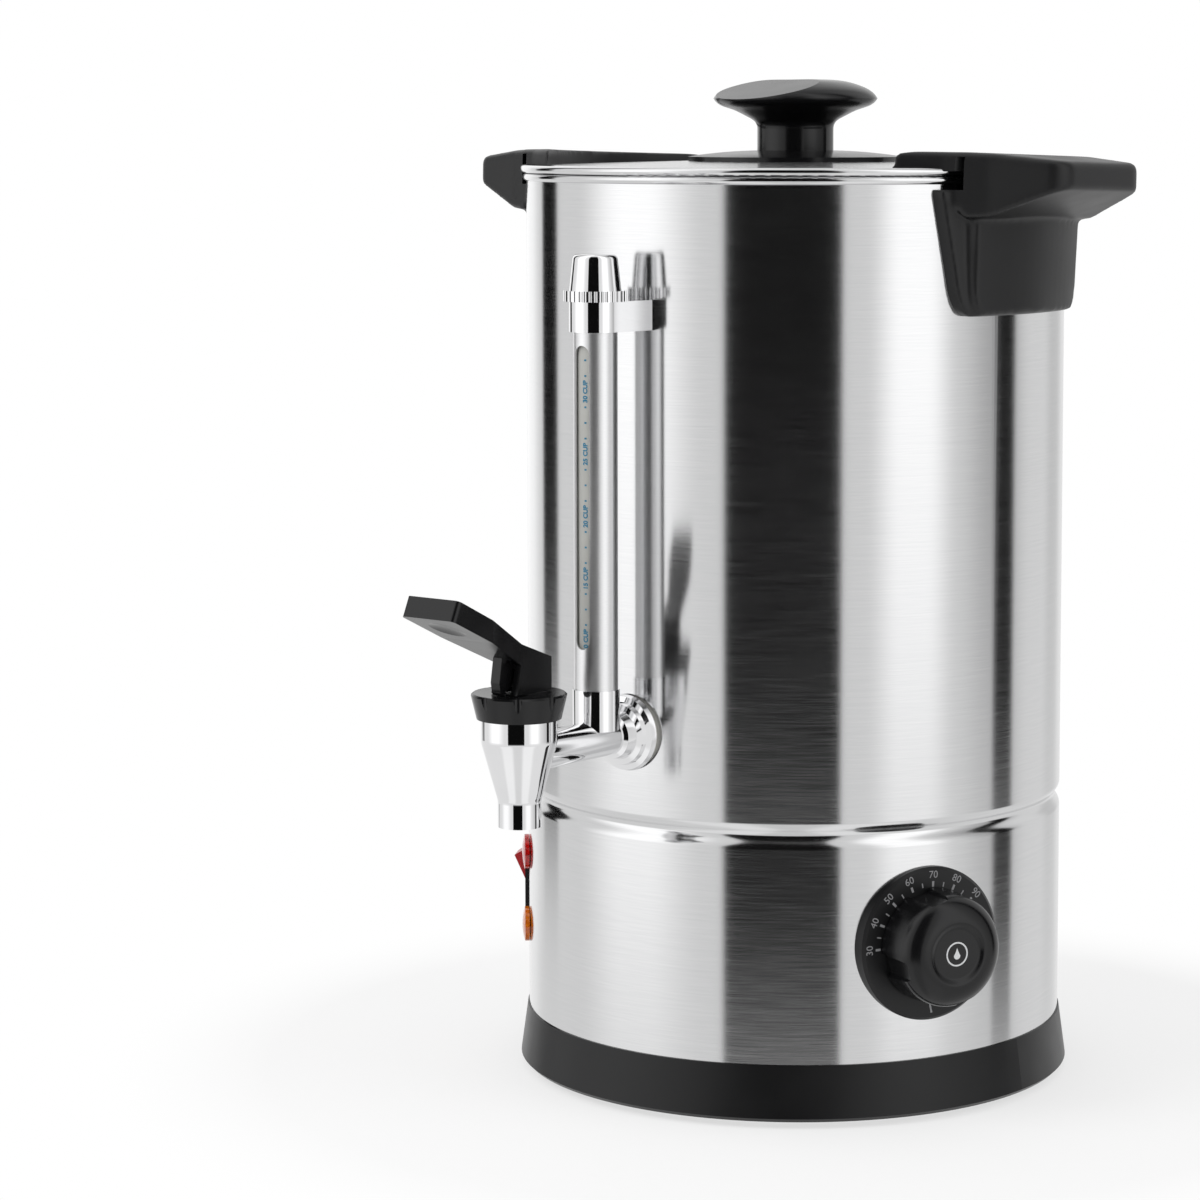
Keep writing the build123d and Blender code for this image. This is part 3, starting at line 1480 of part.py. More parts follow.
switch_plane = wall_plane(switch_angle, switch_z)
bezel_back = seat_gap
pocket_half_width = bezel_half_width - bezel_side_frame
pocket_half_height = bezel_half_height - bezel_frame
pivot_offset = bezel_back + bezel_thickness - rocker_pivot_depth
rocker_swing = pocket_half_height - move_gap
with BuildPart() as rocker_bezel:
    with BuildSketch(switch_plane.offset(bezel_back)):
        RectangleRounded(2 * bezel_half_width, 2 * bezel_half_height, bezel_round)
    extrude(amount=bezel_thickness)
    with BuildSketch(switch_plane.offset(bezel_back)):
        Rectangle(2 * switch_half_width, 2 * switch_half_height)
    extrude(amount=-switch_depth)
    with BuildSketch(switch_plane.offset(bezel_back + bezel_thickness)):
        Rectangle(2 * pocket_half_width, 2 * pocket_half_height)
    extrude(amount=-bezel_thickness - switch_pocket, mode=Mode.SUBTRACT)
    pin_line = Plane(
        switch_plane.origin + switch_plane.z_dir * pivot_offset,
        switch_plane.y_dir,
        switch_plane.x_dir,
    )
    with BuildSketch(pin_line):
        Circle(rocker_pin_radius + run_gap)
    extrude(amount=switch_half_width, both=True, mode=Mode.SUBTRACT)
save(rocker_bezel, "rocker_bezel")

rocker_plane = Plane(
    pin_line.origin,
    switch_plane.y_dir * cos(radians(rocker_tilt)) + switch_plane.z_dir * sin(radians(rocker_tilt)),
    switch_plane.x_dir,
)
rocker_face = rocker_pivot_depth + rocker_rise
rocker_tip_x = sqrt(rocker_swing ** 2 - rocker_face ** 2)
rocker_foot_x = sqrt(rocker_swing ** 2 - rocker_foot ** 2)
with BuildPart() as rocker:
    with BuildSketch(rocker_plane):
        with BuildLine():
            Polyline(
                (rocker_tip_x, rocker_face),
                (0, rocker_face - rocker_dip),
                (-rocker_tip_x, rocker_face),
            )
            RadiusArc((rocker_tip_x, rocker_face), (rocker_foot_x, -rocker_foot), rocker_swing)
            Line((rocker_foot_x, -rocker_foot), (-rocker_foot_x, -rocker_foot))
            RadiusArc((-rocker_foot_x, -rocker_foot), (-rocker_tip_x, rocker_face), rocker_swing)
        make_face()
    extrude(amount=pocket_half_width - move_gap, both=True)
    with BuildSketch(pin_line):
        Circle(rocker_pin_radius)
    extrude(amount=switch_half_width - seat_gap, both=True)
save(rocker, "rocker")

# ==== cord gland ==============================================================
gland_plane = wall_plane(gland_angle, gland_z)
gland_nut_sag = curve_sag(shell_inner, gland_nut_flats / 2 / cos(radians(30)))
with BuildPart() as cord_gland:
    with BuildSketch(gland_plane):
        Circle(gland_flange_radius)
    extrude(amount=gland_flange_height, taper=gland_flange_draft)
    with BuildSketch(gland_plane):
        Circle(gland_barrel_radius)
    extrude(amount=-gland_depth)
    with BuildSketch(gland_plane):
        Circle(gland_flange_radius)
    extrude(amount=-curve_sag(shell_radius, gland_flange_radius) - seat_gap)
    with BuildPart(mode=Mode.PRIVATE) as casing_core:
        with BuildSketch(Plane.XY):
            Circle(shell_radius + seat_gap)
            Circle(shell_inner - seat_gap - end_gap, mode=Mode.SUBTRACT)
        extrude(amount=tall)
        with BuildSketch(gland_plane.offset(-gland_depth)):
            Circle(gland_barrel_radius)
        extrude(amount=gland_depth + gland_flange_height, mode=Mode.SUBTRACT)
    add(casing_core.part, mode=Mode.SUBTRACT)
    with BuildSketch(gland_plane.offset(gland_flange_height)):
        Circle(gland_bore)
    extrude(amount=-gland_flange_height - gland_depth, mode=Mode.SUBTRACT)
save(cord_gland, "cord_gland")

with BuildPart() as gland_nut:
    with BuildSketch(wall_plane(gland_angle, gland_z, shell_inner - gland_nut_sag - seat_gap)):
        RegularPolygon(gland_nut_flats / 2, 6, major_radius=False)
        Circle(gland_barrel_radius + fit_gap, mode=Mode.SUBTRACT)
    extrude(amount=-gland_nut_height)
save(gland_nut, "gland_nut")
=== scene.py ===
import json
from math import cos, pi, radians, sin

import bpy
from mathutils import Matrix, Vector


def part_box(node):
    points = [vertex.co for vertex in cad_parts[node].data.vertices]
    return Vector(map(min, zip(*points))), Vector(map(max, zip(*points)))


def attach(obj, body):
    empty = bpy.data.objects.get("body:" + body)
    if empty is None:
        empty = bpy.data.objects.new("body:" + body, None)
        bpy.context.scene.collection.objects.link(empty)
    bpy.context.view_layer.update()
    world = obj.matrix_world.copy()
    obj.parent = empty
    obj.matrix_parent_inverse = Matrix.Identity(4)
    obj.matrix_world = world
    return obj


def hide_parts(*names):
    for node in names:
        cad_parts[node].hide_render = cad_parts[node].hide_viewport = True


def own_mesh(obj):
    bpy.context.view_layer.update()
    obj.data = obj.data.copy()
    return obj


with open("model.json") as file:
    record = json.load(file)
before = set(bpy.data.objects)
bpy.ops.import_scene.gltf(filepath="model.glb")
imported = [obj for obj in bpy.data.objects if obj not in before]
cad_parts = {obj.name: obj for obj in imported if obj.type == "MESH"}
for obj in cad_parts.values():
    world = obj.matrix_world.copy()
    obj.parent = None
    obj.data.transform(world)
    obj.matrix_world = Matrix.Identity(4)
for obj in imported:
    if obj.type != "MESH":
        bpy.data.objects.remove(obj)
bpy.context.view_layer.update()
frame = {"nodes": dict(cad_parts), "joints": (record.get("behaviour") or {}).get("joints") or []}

# Lengths are in metres. Angles in the tables are in degrees.
MM = 0.001
UP = Vector((0, 0, 1))

# ---- places read from the frame ----------------------------------------------
joints = {joint["name"]: joint for joint in frame["joints"]}
nodes = frame["nodes"]

# ---- camera ------------------------------------------------------------------
VIEW_TURN = 36.0            # camera round from the tap's side towards the dial
CAMERA_REACH = 1.527        # from the urn's axis, measured level
CAMERA_HEIGHT = 0.4012
FRAME_PIXELS = 1200
FOCAL_PIXELS = 3600.0
AXIS_PIXEL = 794.3          # the urn's axis and the horizon in the frame
HORIZON_PIXEL = 120.0
LENS_SHIFT = (-0.07, -0.11)  # part of the framing that is shift and not aim
SENSOR_WIDTH = 36.0         # millimetres, as Blender keeps it
CLIP_RANGE = (0.05, 50.0)

# ---- studio ------------------------------------------------------------------
FLOOR_RADIUS = 4.0
FLOOR_TONE = 0.92
FLOOR_FADE = (0.12, 0.30)   # from shaded floor to plain white
FLOOR_GLOW = 0.62           # share of plain white under the shade
DIFFUSE_LEVEL = 0.72
GLOSS_LEVEL = 0.86
SKY_LEVEL = 0.95
GROUND_LEVEL = 0.93
HORIZON_BLEND = 30.0        # from the ground's level to the sky's, each way
# Soft boxes and black cards round the set: centre and half width from the camera
# towards its right, softness at the edge, then a box's gain in brightness or the
# two elevations between which a card ends below.
SOFT_BOXES = (
    (-71.0, 6.0, 28.0, 0.60),
    (51.5, 6.0, 16.0, 0.58),
    (-158.0, 6.0, 14.0, 0.30),
    (95.0, 3.0, 22.0, -0.34),
    (146.0, 3.0, 12.0, -0.18),
)
BOX_BOTTOM = (-3.0, -21.0)
CARDS = (
    (-4.9, 24.0, 1.2, (-14.5, -20.0)),
    (-128.8, 6.2, 2.6, (-8.0, -12.5)),
    (100.5, 4.8, 3.0, (-11.0, -17.0)),
)
CARD_TOP = (55.0, 72.0)
CARD_TONE = 0.004
# Boxes that only down-facing chrome sees, below the last height.
LOW_BOXES = (
    (-38.0, 12.0, 14.0, 0.16),
    (36.0, 12.0, 14.0, 0.16),
    (0.0, 8.0, 14.0, -0.07),
)
LOW_TOP = (-27.0, -21.5)
# Lamps: turn from the camera, height, reach, size and power in watts.
LAMPS = {
    "key_lamp": (-62.0, 1.5, 1.6, 1.2, 14.0),
    "fill_lamp": (70.0, 1.2, 1.8, 1.4, 8.0),
}
LAMP_AIM = Vector((0, 0, 0.2))


def outward(angle):
    """Level direction away from the axis, turned from the tap's side."""
    return Vector((sin(angle), -cos(angle), 0))


def level_way(angle):
    """Level direction turned from +X, which is to the right of the outward one."""
    return Vector((cos(angle), sin(angle), 0))


# ==== shader helpers ==========================================================
def add_node(tree, kind, settings=None, **values):
    """New node with its settings and socket values; i0, i1 and so on count sockets."""
    made = tree.nodes.new(kind)
    for key, value in (settings or {}).items():
        setattr(made, key, value)
    for key, value in values.items():
        counted = key[0] == "i" and key[1:].isdigit()
        socket = made.inputs[int(key[1:]) if counted else key]
        if isinstance(value, bpy.types.NodeSocket):
            tree.links.new(value, socket)
        else:
            socket.default_value = value
    return made


def compute(tree, operation, first, second=0.0, third=0.0):
    """One arithmetic step; a number or a socket each."""
    made = add_node(
        tree, "ShaderNodeMath", {"operation": operation}, i0=first, i1=second, i2=third)
    return made.outputs[0]


def product(tree, first, second):
    """Product of two numbers or sockets."""
    return compute(tree, "MULTIPLY", first, second)


def total(tree, first, second):
    """Sum of two numbers or sockets."""
    return compute(tree, "ADD", first, second)


def spread(tree, value, low, high, to_low=0.0, to_high=1.0, smooth=False):
    """Map a value from one range to another."""
    kind = {"interpolation_type": "SMOOTHSTEP" if smooth else "LINEAR"}
    made = add_node(
        tree, "ShaderNodeMapRange", kind, i0=value, i1=low, i2=high, i3=to_low, i4=to_high)
    return made.outputs[0]


def object_place(tree):
    """Place on the object, in metres."""
    return add_node(tree, "ShaderNodeTexCoord").outputs["Object"]


def split(tree, vector):
    """The three parts of a vector."""
    return add_node(tree, "ShaderNodeSeparateXYZ", i0=vector).outputs


def level_reach(tree, east, north):
    """Level distance from an upright axis."""
    squares = total(tree, product(tree, east, east), product(tree, north, north))
    return compute(tree, "SQRT", squares)


def noise(tree, vector, scale, detail=2.0, rough=0.5):
    """Noise value at a scale in cycles per metre."""
    made = add_node(
        tree, "ShaderNodeTexNoise", i0=vector, Scale=scale, Detail=detail, Roughness=rough)
    return made.outputs[0]


def relief(tree, shader, height, depth, strength):
    """Bump from a 0 to 1 height, with its depth in metres."""
    bump = add_node(tree, "ShaderNodeBump", Strength=strength, Distance=depth, Height=height)
    tree.links.new(bump.outputs[0], shader.inputs["Normal"])


def tint(tree, shader, value, dark, light):
    """Base colour that wanders between two tones."""
    mixed = add_node(tree, "ShaderNodeMix", {"data_type": "RGBA"})
    tree.links.new(value, mixed.inputs[0])
    mixed.inputs[6].default_value = (*dark, 1)
    mixed.inputs[7].default_value = (*light, 1)
    tree.links.new(mixed.outputs[2], shader.inputs["Base Color"])


def scaled(tone, factor):
    """Colour made lighter or darker."""
    return tuple(factor * part for part in tone)


def start_material(name, **sockets):
    """Material with a principled shader and its plain socket values."""
    material = bpy.data.materials.new(name)
    material.use_nodes = True
    shader = material.node_tree.nodes["Principled BSDF"]
    for key, value in sockets.items():
        shader.inputs[key.replace("_", " ")].default_value = value
    return material, material.node_tree, shader


# ==== materials ===============================================================
MID_NOISE = (0.3, 0.7)      # range in which most of the noise lies
BRUSH_ALONG = 5200.0        # brush marks: cycles per metre up and out
BRUSH_AROUND = 6.0          # and per radian round the axis
BRUSH_DEPTH = 0.012 * MM
STEEL_TONES = ((0.665, 0.668, 0.675), (0.725, 0.725, 0.728))
CHROME_TONES = ((0.80, 0.80, 0.81), (0.87, 0.87, 0.875))
GLASS_TONES = ((0.50, 0.50, 0.47), (0.60, 0.60, 0.57))
MOULD_SHADES = (0.82, 1.15)  # of a moulding's tone
MOULD_WANDER = 0.04         # of its roughness
INK_SHADE = 0.85
LENS_CELLS = 620.0          # facets per metre inside a lamp cover


def round_coords(tree, whole, centre):
    """Coordinates stretched round an upright axis for brush marks, and the way round."""
    parts = split(tree, whole)
    east = compute(tree, "SUBTRACT", parts[0], centre[0])
    north = compute(tree, "SUBTRACT", parts[1], centre[1])
    turn = product(tree, compute(tree, "ARCTAN2", north, east), BRUSH_AROUND)
    rise = product(tree, parts[2], BRUSH_ALONG)
    reach = product(tree, level_reach(tree, east, north), BRUSH_ALONG)
    coords = add_node(tree, "ShaderNodeCombineXYZ", i0=turn, i1=rise, i2=reach).outputs[0]
    tangent = add_node(
        tree, "ShaderNodeCombineXYZ", i0=product(tree, north, -1.0), i1=east, i2=0.0)
    unit = add_node(
        tree, "ShaderNodeVectorMath", {"operation": "NORMALIZE"}, i0=tangent.outputs[0])
    return coords, unit.outputs[0]


def brushed_steel(name, centre=(0.0, 0.0), roughness=0.13, streak=1.0, drawn=0.6, bright=1.0):
    """Sheet metal brushed round its axis."""
    material, tree, shader = start_material(
        name, Metallic=1.0, Anisotropic=drawn, Anisotropic_Rotation=0.25)
    whole = object_place(tree)
    coords, unit = round_coords(tree, whole, centre)
    fine = noise(tree, coords, 1.0, detail=3.0, rough=0.6)
    broad = noise(tree, whole, 9.0)
    tree.links.new(unit, shader.inputs["Tangent"])
    dark, light = STEEL_TONES
    tint(tree, shader, spread(tree, fine, *MID_NOISE), scaled(dark, bright), scaled(light, bright))
    wander = total(tree, spread(tree, fine, *MID_NOISE, -0.025, 0.035),
                   spread(tree, broad, *MID_NOISE, -0.01, 0.01))
    tree.links.new(total(tree, wander, roughness), shader.inputs["Roughness"])
    relief(tree, shader, fine, BRUSH_DEPTH * streak, 0.35)
    return material


def chrome(name):
    """Polished plating."""
    material, tree, shader = start_material(name, Metallic=1.0)
    whole = object_place(tree)
    cloud = noise(tree, whole, 60.0, detail=3.0)
    tint(tree, shader, cloud, *CHROME_TONES)
    tree.links.new(spread(tree, cloud, *MID_NOISE, 0.035, 0.06), shader.inputs["Roughness"])
    relief(tree, shader, noise(tree, whole, 220.0, detail=1.0), 0.02 * MM, 0.12)
    return material


def moulded(name, tone, roughness, grain=0.05, sheen=0.5):
    """Moulding with a fine surface grain, whose depth is in millimetres."""
    material, tree, shader = start_material(name, Specular_IOR_Level=sheen)
    whole = object_place(tree)
    fine = noise(tree, whole, 2600.0)
    cloud = noise(tree, whole, 35.0, detail=3.0)
    darker, lighter = (scaled(tone, shade) for shade in MOULD_SHADES)
    tint(tree, shader, cloud, darker, lighter)
    wander = spread(
        tree, cloud, *MID_NOISE, roughness - MOULD_WANDER, roughness + MOULD_WANDER)
    tree.links.new(wander, shader.inputs["Roughness"])
    relief(tree, shader, fine, grain * MM, 0.3)
    return material


def clear_lens(name, tone, deep):
    """Coloured lamp cover with a faceted inside."""
    material, tree, shader = start_material(
        name, Roughness=0.12, Transmission_Weight=0.25, IOR=1.49, Coat_Weight=0.6,
        Coat_Roughness=0.04)
    cells = add_node(tree, "ShaderNodeTexVoronoi", Vector=object_place(tree), Scale=LENS_CELLS)
    facet = cells.outputs["Distance"]
    tint(tree, shader, spread(tree, facet, 0.0, 0.7), tone, deep)
    relief(tree, shader, facet, 0.25 * MM, 0.4)
    return material


def tube_glass(name):
    """Gauge tube with a milky haze."""
    material, tree, shader = start_material(name, Transmission_Weight=0.3, IOR=1.47)
    haze = noise(tree, object_place(tree), 90.0, detail=3.0)
    tint(tree, shader, haze, *GLASS_TONES)
    tree.links.new(spread(tree, haze, 0.3, 0.8, 0.03, 0.12), shader.inputs["Roughness"])
    return material


def print_ink(name, tone):
    """Screen-printed marks."""
    material, tree, shader = start_material(name, Roughness=0.55)
    tint(tree, shader, noise(tree, object_place(tree), 1500.0), scaled(tone, INK_SHADE), tone)
    return material


gauge_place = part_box("gauge_shield")
gauge_axis = ((gauge_place[0] + gauge_place[1]) / 2).to_2d()

shell_steel = brushed_steel("brushed_shell_steel")
shield_steel = brushed_steel(
    "brushed_shield_steel", gauge_axis, roughness=0.33, drawn=0.1, bright=1.16)
lid_steel = brushed_steel("spun_lid_steel", roughness=0.17)
tank_steel = brushed_steel("drawn_tank_steel", streak=0.4)
zinc = brushed_steel("zinc_plate", roughness=0.35, streak=0.3)
aluminium = brushed_steel("rolled_aluminium", roughness=0.4, streak=0.5)
plating = chrome("polished_chrome")
brass = moulded("turned_brass", (0.62, 0.45, 0.18), 0.3, grain=0.01)
black_matt = moulded("black_moulding", (0.007, 0.007, 0.0075), 0.36, grain=0.03, sheen=0.30)
black_handle = moulded(
    "black_handle_moulding", (0.009, 0.009, 0.0095), 0.40, grain=0.03, sheen=0.34)
black_gloss = moulded(
    "black_polished_moulding", (0.005, 0.005, 0.0055), 0.20, grain=0.012, sheen=0.36)
rubber = moulded("foot_rubber", (0.03, 0.03, 0.03), 0.75, grain=0.08, sheen=0.3)
silicone = moulded("seal_silicone", (0.62, 0.61, 0.57), 0.5, grain=0.02)
ceramic = moulded("heat_proof_moulding", (0.62, 0.58, 0.48), 0.6, grain=0.04)
rocker_red = moulded("rocker_red", (0.42, 0.012, 0.016), 0.3, grain=0.02)
glass = tube_glass("gauge_glass_clear")
red_lens = clear_lens("red_lens_cover", (0.80, 0.010, 0.008), (0.42, 0.004, 0.004))
amber_lens = clear_lens("amber_lens_cover", (0.86, 0.24, 0.006), (0.62, 0.12, 0.004))
scale_grey = print_ink("scale_print_grey", (0.30, 0.30, 0.31))
scale_white = print_ink("symbol_print_white", (0.72, 0.73, 0.74))
scale_blue = print_ink("gauge_print_blue", (0.003, 0.17, 0.30))

FINISHES = {
    shield_steel: ("gauge_shield",),
    lid_steel: ("lid",),
    tank_steel: ("inner_tank", "bottom_plate", "heating_element", "tap_spring"),
    plating: ("tap_shank", "tap_body", "gauge_collar", "gauge_cap"),
    black_matt: ("base_ring", "rocker_bezel", "cord_gland", "gland_nut", "lamp_nuts",
                 "dial_plate", "tap_stem"),
    black_gloss: ("lid_knob", "lid_skirt", "tap_bonnet", "tap_lever", "dial_knob"),
    rubber: ("rubber_feet",),
    silicone: ("tap_gaskets", "gauge_seals", "seat_cup"),
    ceramic: ("boil_dry_cutout", "terminal_block", "thermostat_body"),
    zinc: ("base_screws", "bulb_clip", "handle_screws", "bracket_screw", "dial_screws",
           "lid_screw", "lever_pin", "thermostat_spindle"),
    red_lens: ("red_lamp",),
    amber_lens: ("amber_lamp",),
    rocker_red: ("rocker",),
    aluminium: ("heat_plate",),
    brass: ("thermostat_bulb", "tap_tail_nut"),
}
for material, names in FINISHES.items():
    for name in names:
        mesh = nodes[name].data
        mesh.materials.clear()
        mesh.materials.append(material)


# ==== modelling helpers =======================================================
def clear_selection():
    """Object mode with nothing selected."""
    if bpy.context.object and bpy.context.object.mode != "OBJECT":
        bpy.ops.object.mode_set(mode="OBJECT")
    bpy.ops.object.select_all(action="DESELECT")


def pick(piece):
    """Make a piece the only one selected, and the active one."""
    clear_selection()
    piece.select_set(True)
    bpy.context.view_layer.objects.active = piece


def edit_all():
    """Edit mode with everything selected."""
    bpy.ops.object.mode_set(mode="EDIT")
    bpy.ops.mesh.select_all(action="SELECT")


def leave_edit():
    """Back to object mode, with the active piece."""
    bpy.ops.object.mode_set(mode="OBJECT")
    return bpy.context.object


def slice_level(height):
    """Cut everything along a level plane and keep both sides."""
    bpy.ops.mesh.select_all(action="SELECT")
    bpy.ops.mesh.bisect(plane_co=(0, 0, height), plane_no=(0, 0, 1))


def finish_with(piece, kind, **settings):
    """Add a modifier and apply it."""
    pick(piece)
    modifier = piece.modifiers.new(kind.lower(), kind)
    for key, value in settings.items():
        setattr(modifier, key, value)
    bpy.ops.object.modifier_apply(modifier=modifier.name)


def combine(piece, tool, operation):
    """Boolean with a tool that is used up."""
    finish_with(piece, "BOOLEAN", operation=operation, object=tool, solver="EXACT")
    bpy.data.objects.remove(tool)


def join(pieces):
    """One mesh from several."""
    clear_selection()
    for piece in pieces:
        piece.select_set(True)
    bpy.context.view_layer.objects.active = pieces[0]
    bpy.ops.object.join()
    return bpy.context.object


def block(size, centre=(0, 0, 0)):
    """Blank with three edge lengths."""
    clear_selection()
    bpy.ops.mesh.primitive_cube_add(size=1, location=centre, scale=size)
    bpy.ops.object.transform_apply(location=True, rotation=False, scale=True)
    return bpy.context.object


def drum(radius, low, high, top_radius=None, sides=160):
    """Upright round blank on the urn's axis."""
    clear_selection()
    bpy.ops.mesh.primitive_cone_add(
        vertices=sides, radius1=radius, radius2=top_radius or radius, depth=high - low,
        location=(0, 0, (low + high) / 2))
    bpy.ops.object.transform_apply(location=True, rotation=False, scale=False)
    return bpy.context.object


def shift(piece, spot, angle=0.0):
    """Turn a mesh about the origin and move it."""
    piece.data.transform(Matrix.Translation(spot) @ Matrix.Rotation(angle, 4, "Z"))
    return piece


def settle(piece, name, body, material, matrix=None):
    """Put a finished mesh at its place, name it and let it ride."""
    if matrix is not None:
        piece.data.transform(matrix)
    piece.matrix_world = Matrix.Identity(4)
    piece.name = name
    piece.data.name = name
    piece.data.materials.clear()
    piece.data.materials.append(material)
    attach(piece, body)


# ==== printed marks ===========================================================
PRINT = 0.06 * MM           # thickness of printed marks


def lettering(words, size, stroke=0.0):
    """Flat printed letters centred on the origin, facing +Z."""
    clear_selection()
    bpy.ops.object.text_add(location=(0, 0, 0))
    letters = bpy.context.object
    letters.data.body = words
    letters.data.size = size
    letters.data.align_x = "CENTER"
    letters.data.align_y = "CENTER"
    letters.data.extrude = PRINT / 2
    letters.data.offset = stroke * size
    letters.data.resolution_u = 4
    bpy.ops.object.convert(target="MESH")
    return bpy.context.object


def bar(width, height):
    """Small printed bar centred on the origin."""
    return block((width, height, PRINT))


# ==== dial scale ==============================================================
SCALE_FIRST = 30
SCALE_STEP = 10
SCALE_COUNT = 7
SCALE_DOTS = 2              # plain dots past the last number
SCALE_TURN = 23.0           # between numbers
SCALE_START = 180.0         # the first number is level with the knob, on its left
TICK_REACH = (23.2 * MM, 25.4 * MM)
TICK_WIDTH = (0.95 * MM, 0.5 * MM)       # at a number and between two
HALF_TICK = 0.85            # length of a tick between numbers, of a full one's
NUMBER_REACH = 28.0 * MM
NUMBER_SIZE = 4.2 * MM
SCALE_DOT = 0.9 * MM
REST_MARK = (0.8 * MM, 4.6 * MM)         # where the knob stands when off
REST_REACH = 25.8 * MM
REST_LEAN = 12.0

dial = joints["dial_turn"]
dial_out = Vector(dial["axis"]).normalized()
dial_across = Vector((-dial_out.y, dial_out.x, 0))
dial_centre = Vector(dial["pos_m"])


def furthest(node, direction, origin):
    """How far a node reaches along a direction."""
    return max((vertex.co - origin).dot(direction) for vertex in nodes[node].data.vertices)


def facing(origin, across, out, lift):
    """Matrix from flat work on XY to a face that looks outwards."""
    upward = out.cross(across)
    turn = Matrix((across, upward, out)).transposed().to_4x4()
    return Matrix.Translation(origin + out * lift) @ turn


def dial_scale():
    """Ticks and numbers round the dial plate."""
    marks = []
    middle = (TICK_REACH[0] + TICK_REACH[1]) / 2
    length = TICK_REACH[1] - TICK_REACH[0]
    for step in range(2 * SCALE_COUNT - 1):
        angle = radians(SCALE_START - SCALE_TURN * step / 2)
        if step % 2:
            marks.append(shift(bar(HALF_TICK * length, TICK_WIDTH[1]),
                               level_way(angle) * middle, angle))
            continue
        marks.append(shift(bar(length, TICK_WIDTH[0]), level_way(angle) * middle, angle))
        number = lettering(str(SCALE_FIRST + SCALE_STEP * step // 2), NUMBER_SIZE)
        marks.append(shift(number, level_way(angle) * NUMBER_REACH, angle - pi / 2))
    for dot in range(SCALE_DOTS):
        angle = radians(SCALE_START - SCALE_TURN * (SCALE_COUNT + dot))
        marks.append(shift(bar(SCALE_DOT, SCALE_DOT), level_way(angle) * NUMBER_REACH, angle))
    marks.append(shift(bar(*REST_MARK), (0, -REST_REACH, 0), radians(REST_LEAN)))
    plate_face = furthest("dial_plate", dial_out, dial_centre)
    matrix = facing(dial_centre, dial_across, dial_out, plate_face + PRINT / 2)
    settle(join(marks), "dial_scale", "urn", scale_grey, matrix)


# ==== gauge marks and tube ====================================================
MARK_LOW = 196.2 * MM
MARK_STEP = 24.6 * MM
MARK_COUNT = 5
MARK_FIRST = 10             # cups at the lowest mark
MARK_CUPS = 5               # from mark to mark
MARK_SIZE = 2.75 * MM
MARK_STROKE = 0.035         # weight added to the letters, of their size
MARK_TURN = 7.5             # round the tube from its front
DOTS_BETWEEN = 3
DOTS_ABOVE = 2              # past the last mark
GAUGE_DOT = (0.9 * MM, 0.7 * MM)
GLASS_NECK = 6.3 * MM
GLASS_BODY = 7.55 * MM      # between its two necks, inside the shield
GLASS_SHOULDERS = (183.0 * MM, 186.0 * MM, 314.5 * MM, 317.0 * MM)
GLASS_SIDES = 96
GLASS_SMOOTH = 40.0


def wrap_round(piece, radius):
    """Bend flat work on XY round an upright cylinder whose front is its face."""
    for vertex in piece.data.vertices:
        angle = vertex.co.x / radius
        reach = radius + vertex.co.z
        vertex.co = Vector((reach * sin(angle), -reach * cos(angle), vertex.co.y))


def gauge_scale():
    """Level marks printed on the front of the tube."""
    marks = []
    dot_step = MARK_STEP / (DOTS_BETWEEN + 1)
    for index in range(MARK_COUNT):
        height = MARK_LOW + MARK_STEP * index
        words = str(MARK_FIRST + MARK_CUPS * index) + " CUP"
        marks.append(shift(lettering(words, MARK_SIZE, MARK_STROKE), (0, height, 0), pi / 2))
        dots = DOTS_BETWEEN if index < MARK_COUNT - 1 else DOTS_ABOVE
        for dot in range(dots):
            marks.append(shift(bar(*GAUGE_DOT), (0, height + dot_step * (dot + 1), 0)))
    piece = join(marks)
    wrap_round(piece, GLASS_BODY + PRINT)
    shift(piece, gauge_axis.to_3d(), radians(MARK_TURN))
    settle(piece, "gauge_scale", "urn", scale_blue)


def sight_tube():
    """Gauge tube with a wider body between its necks."""
    low, high = (corner.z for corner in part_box("gauge_glass"))
    clear_selection()
    bpy.ops.mesh.primitive_cylinder_add(
        vertices=GLASS_SIDES, radius=GLASS_NECK, depth=high - low,
        location=(gauge_axis.x, gauge_axis.y, (low + high) / 2))
    bpy.ops.object.transform_apply(location=True, rotation=False, scale=False)
    bpy.ops.object.mode_set(mode="EDIT")
    for height in GLASS_SHOULDERS:
        slice_level(height)
    bpy.ops.mesh.select_all(action="DESELECT")
    tube = leave_edit()
    for vertex in tube.data.vertices:
        vertex.select = GLASS_SHOULDERS[1] - MM < vertex.co.z < GLASS_SHOULDERS[2] + MM
    bpy.ops.object.mode_set(mode="EDIT")
    bpy.ops.mesh.select_mode(type="VERT")
    grown = GLASS_BODY / GLASS_NECK
    bpy.ops.transform.resize(
        value=(grown, grown, 1), center_override=(gauge_axis.x, gauge_axis.y, 0))
    leave_edit()
    bpy.ops.object.shade_smooth_by_angle(angle=radians(GLASS_SMOOTH))
    settle(tube, "sight_tube", "urn", glass)
    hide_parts("gauge_glass")


# ==== knob symbol =============================================================
RING_RADIUS = 4.9 * MM
RING_WIDTH = 0.62 * MM
DROP_RADIUS = 1.5 * MM
DROP_TAPER = 0.75           # width lost towards the drop's tip
DROP_SINK = 0.6 * MM
DISC_DEPTH = 0.9 * MM       # printed disc below the knob's rim


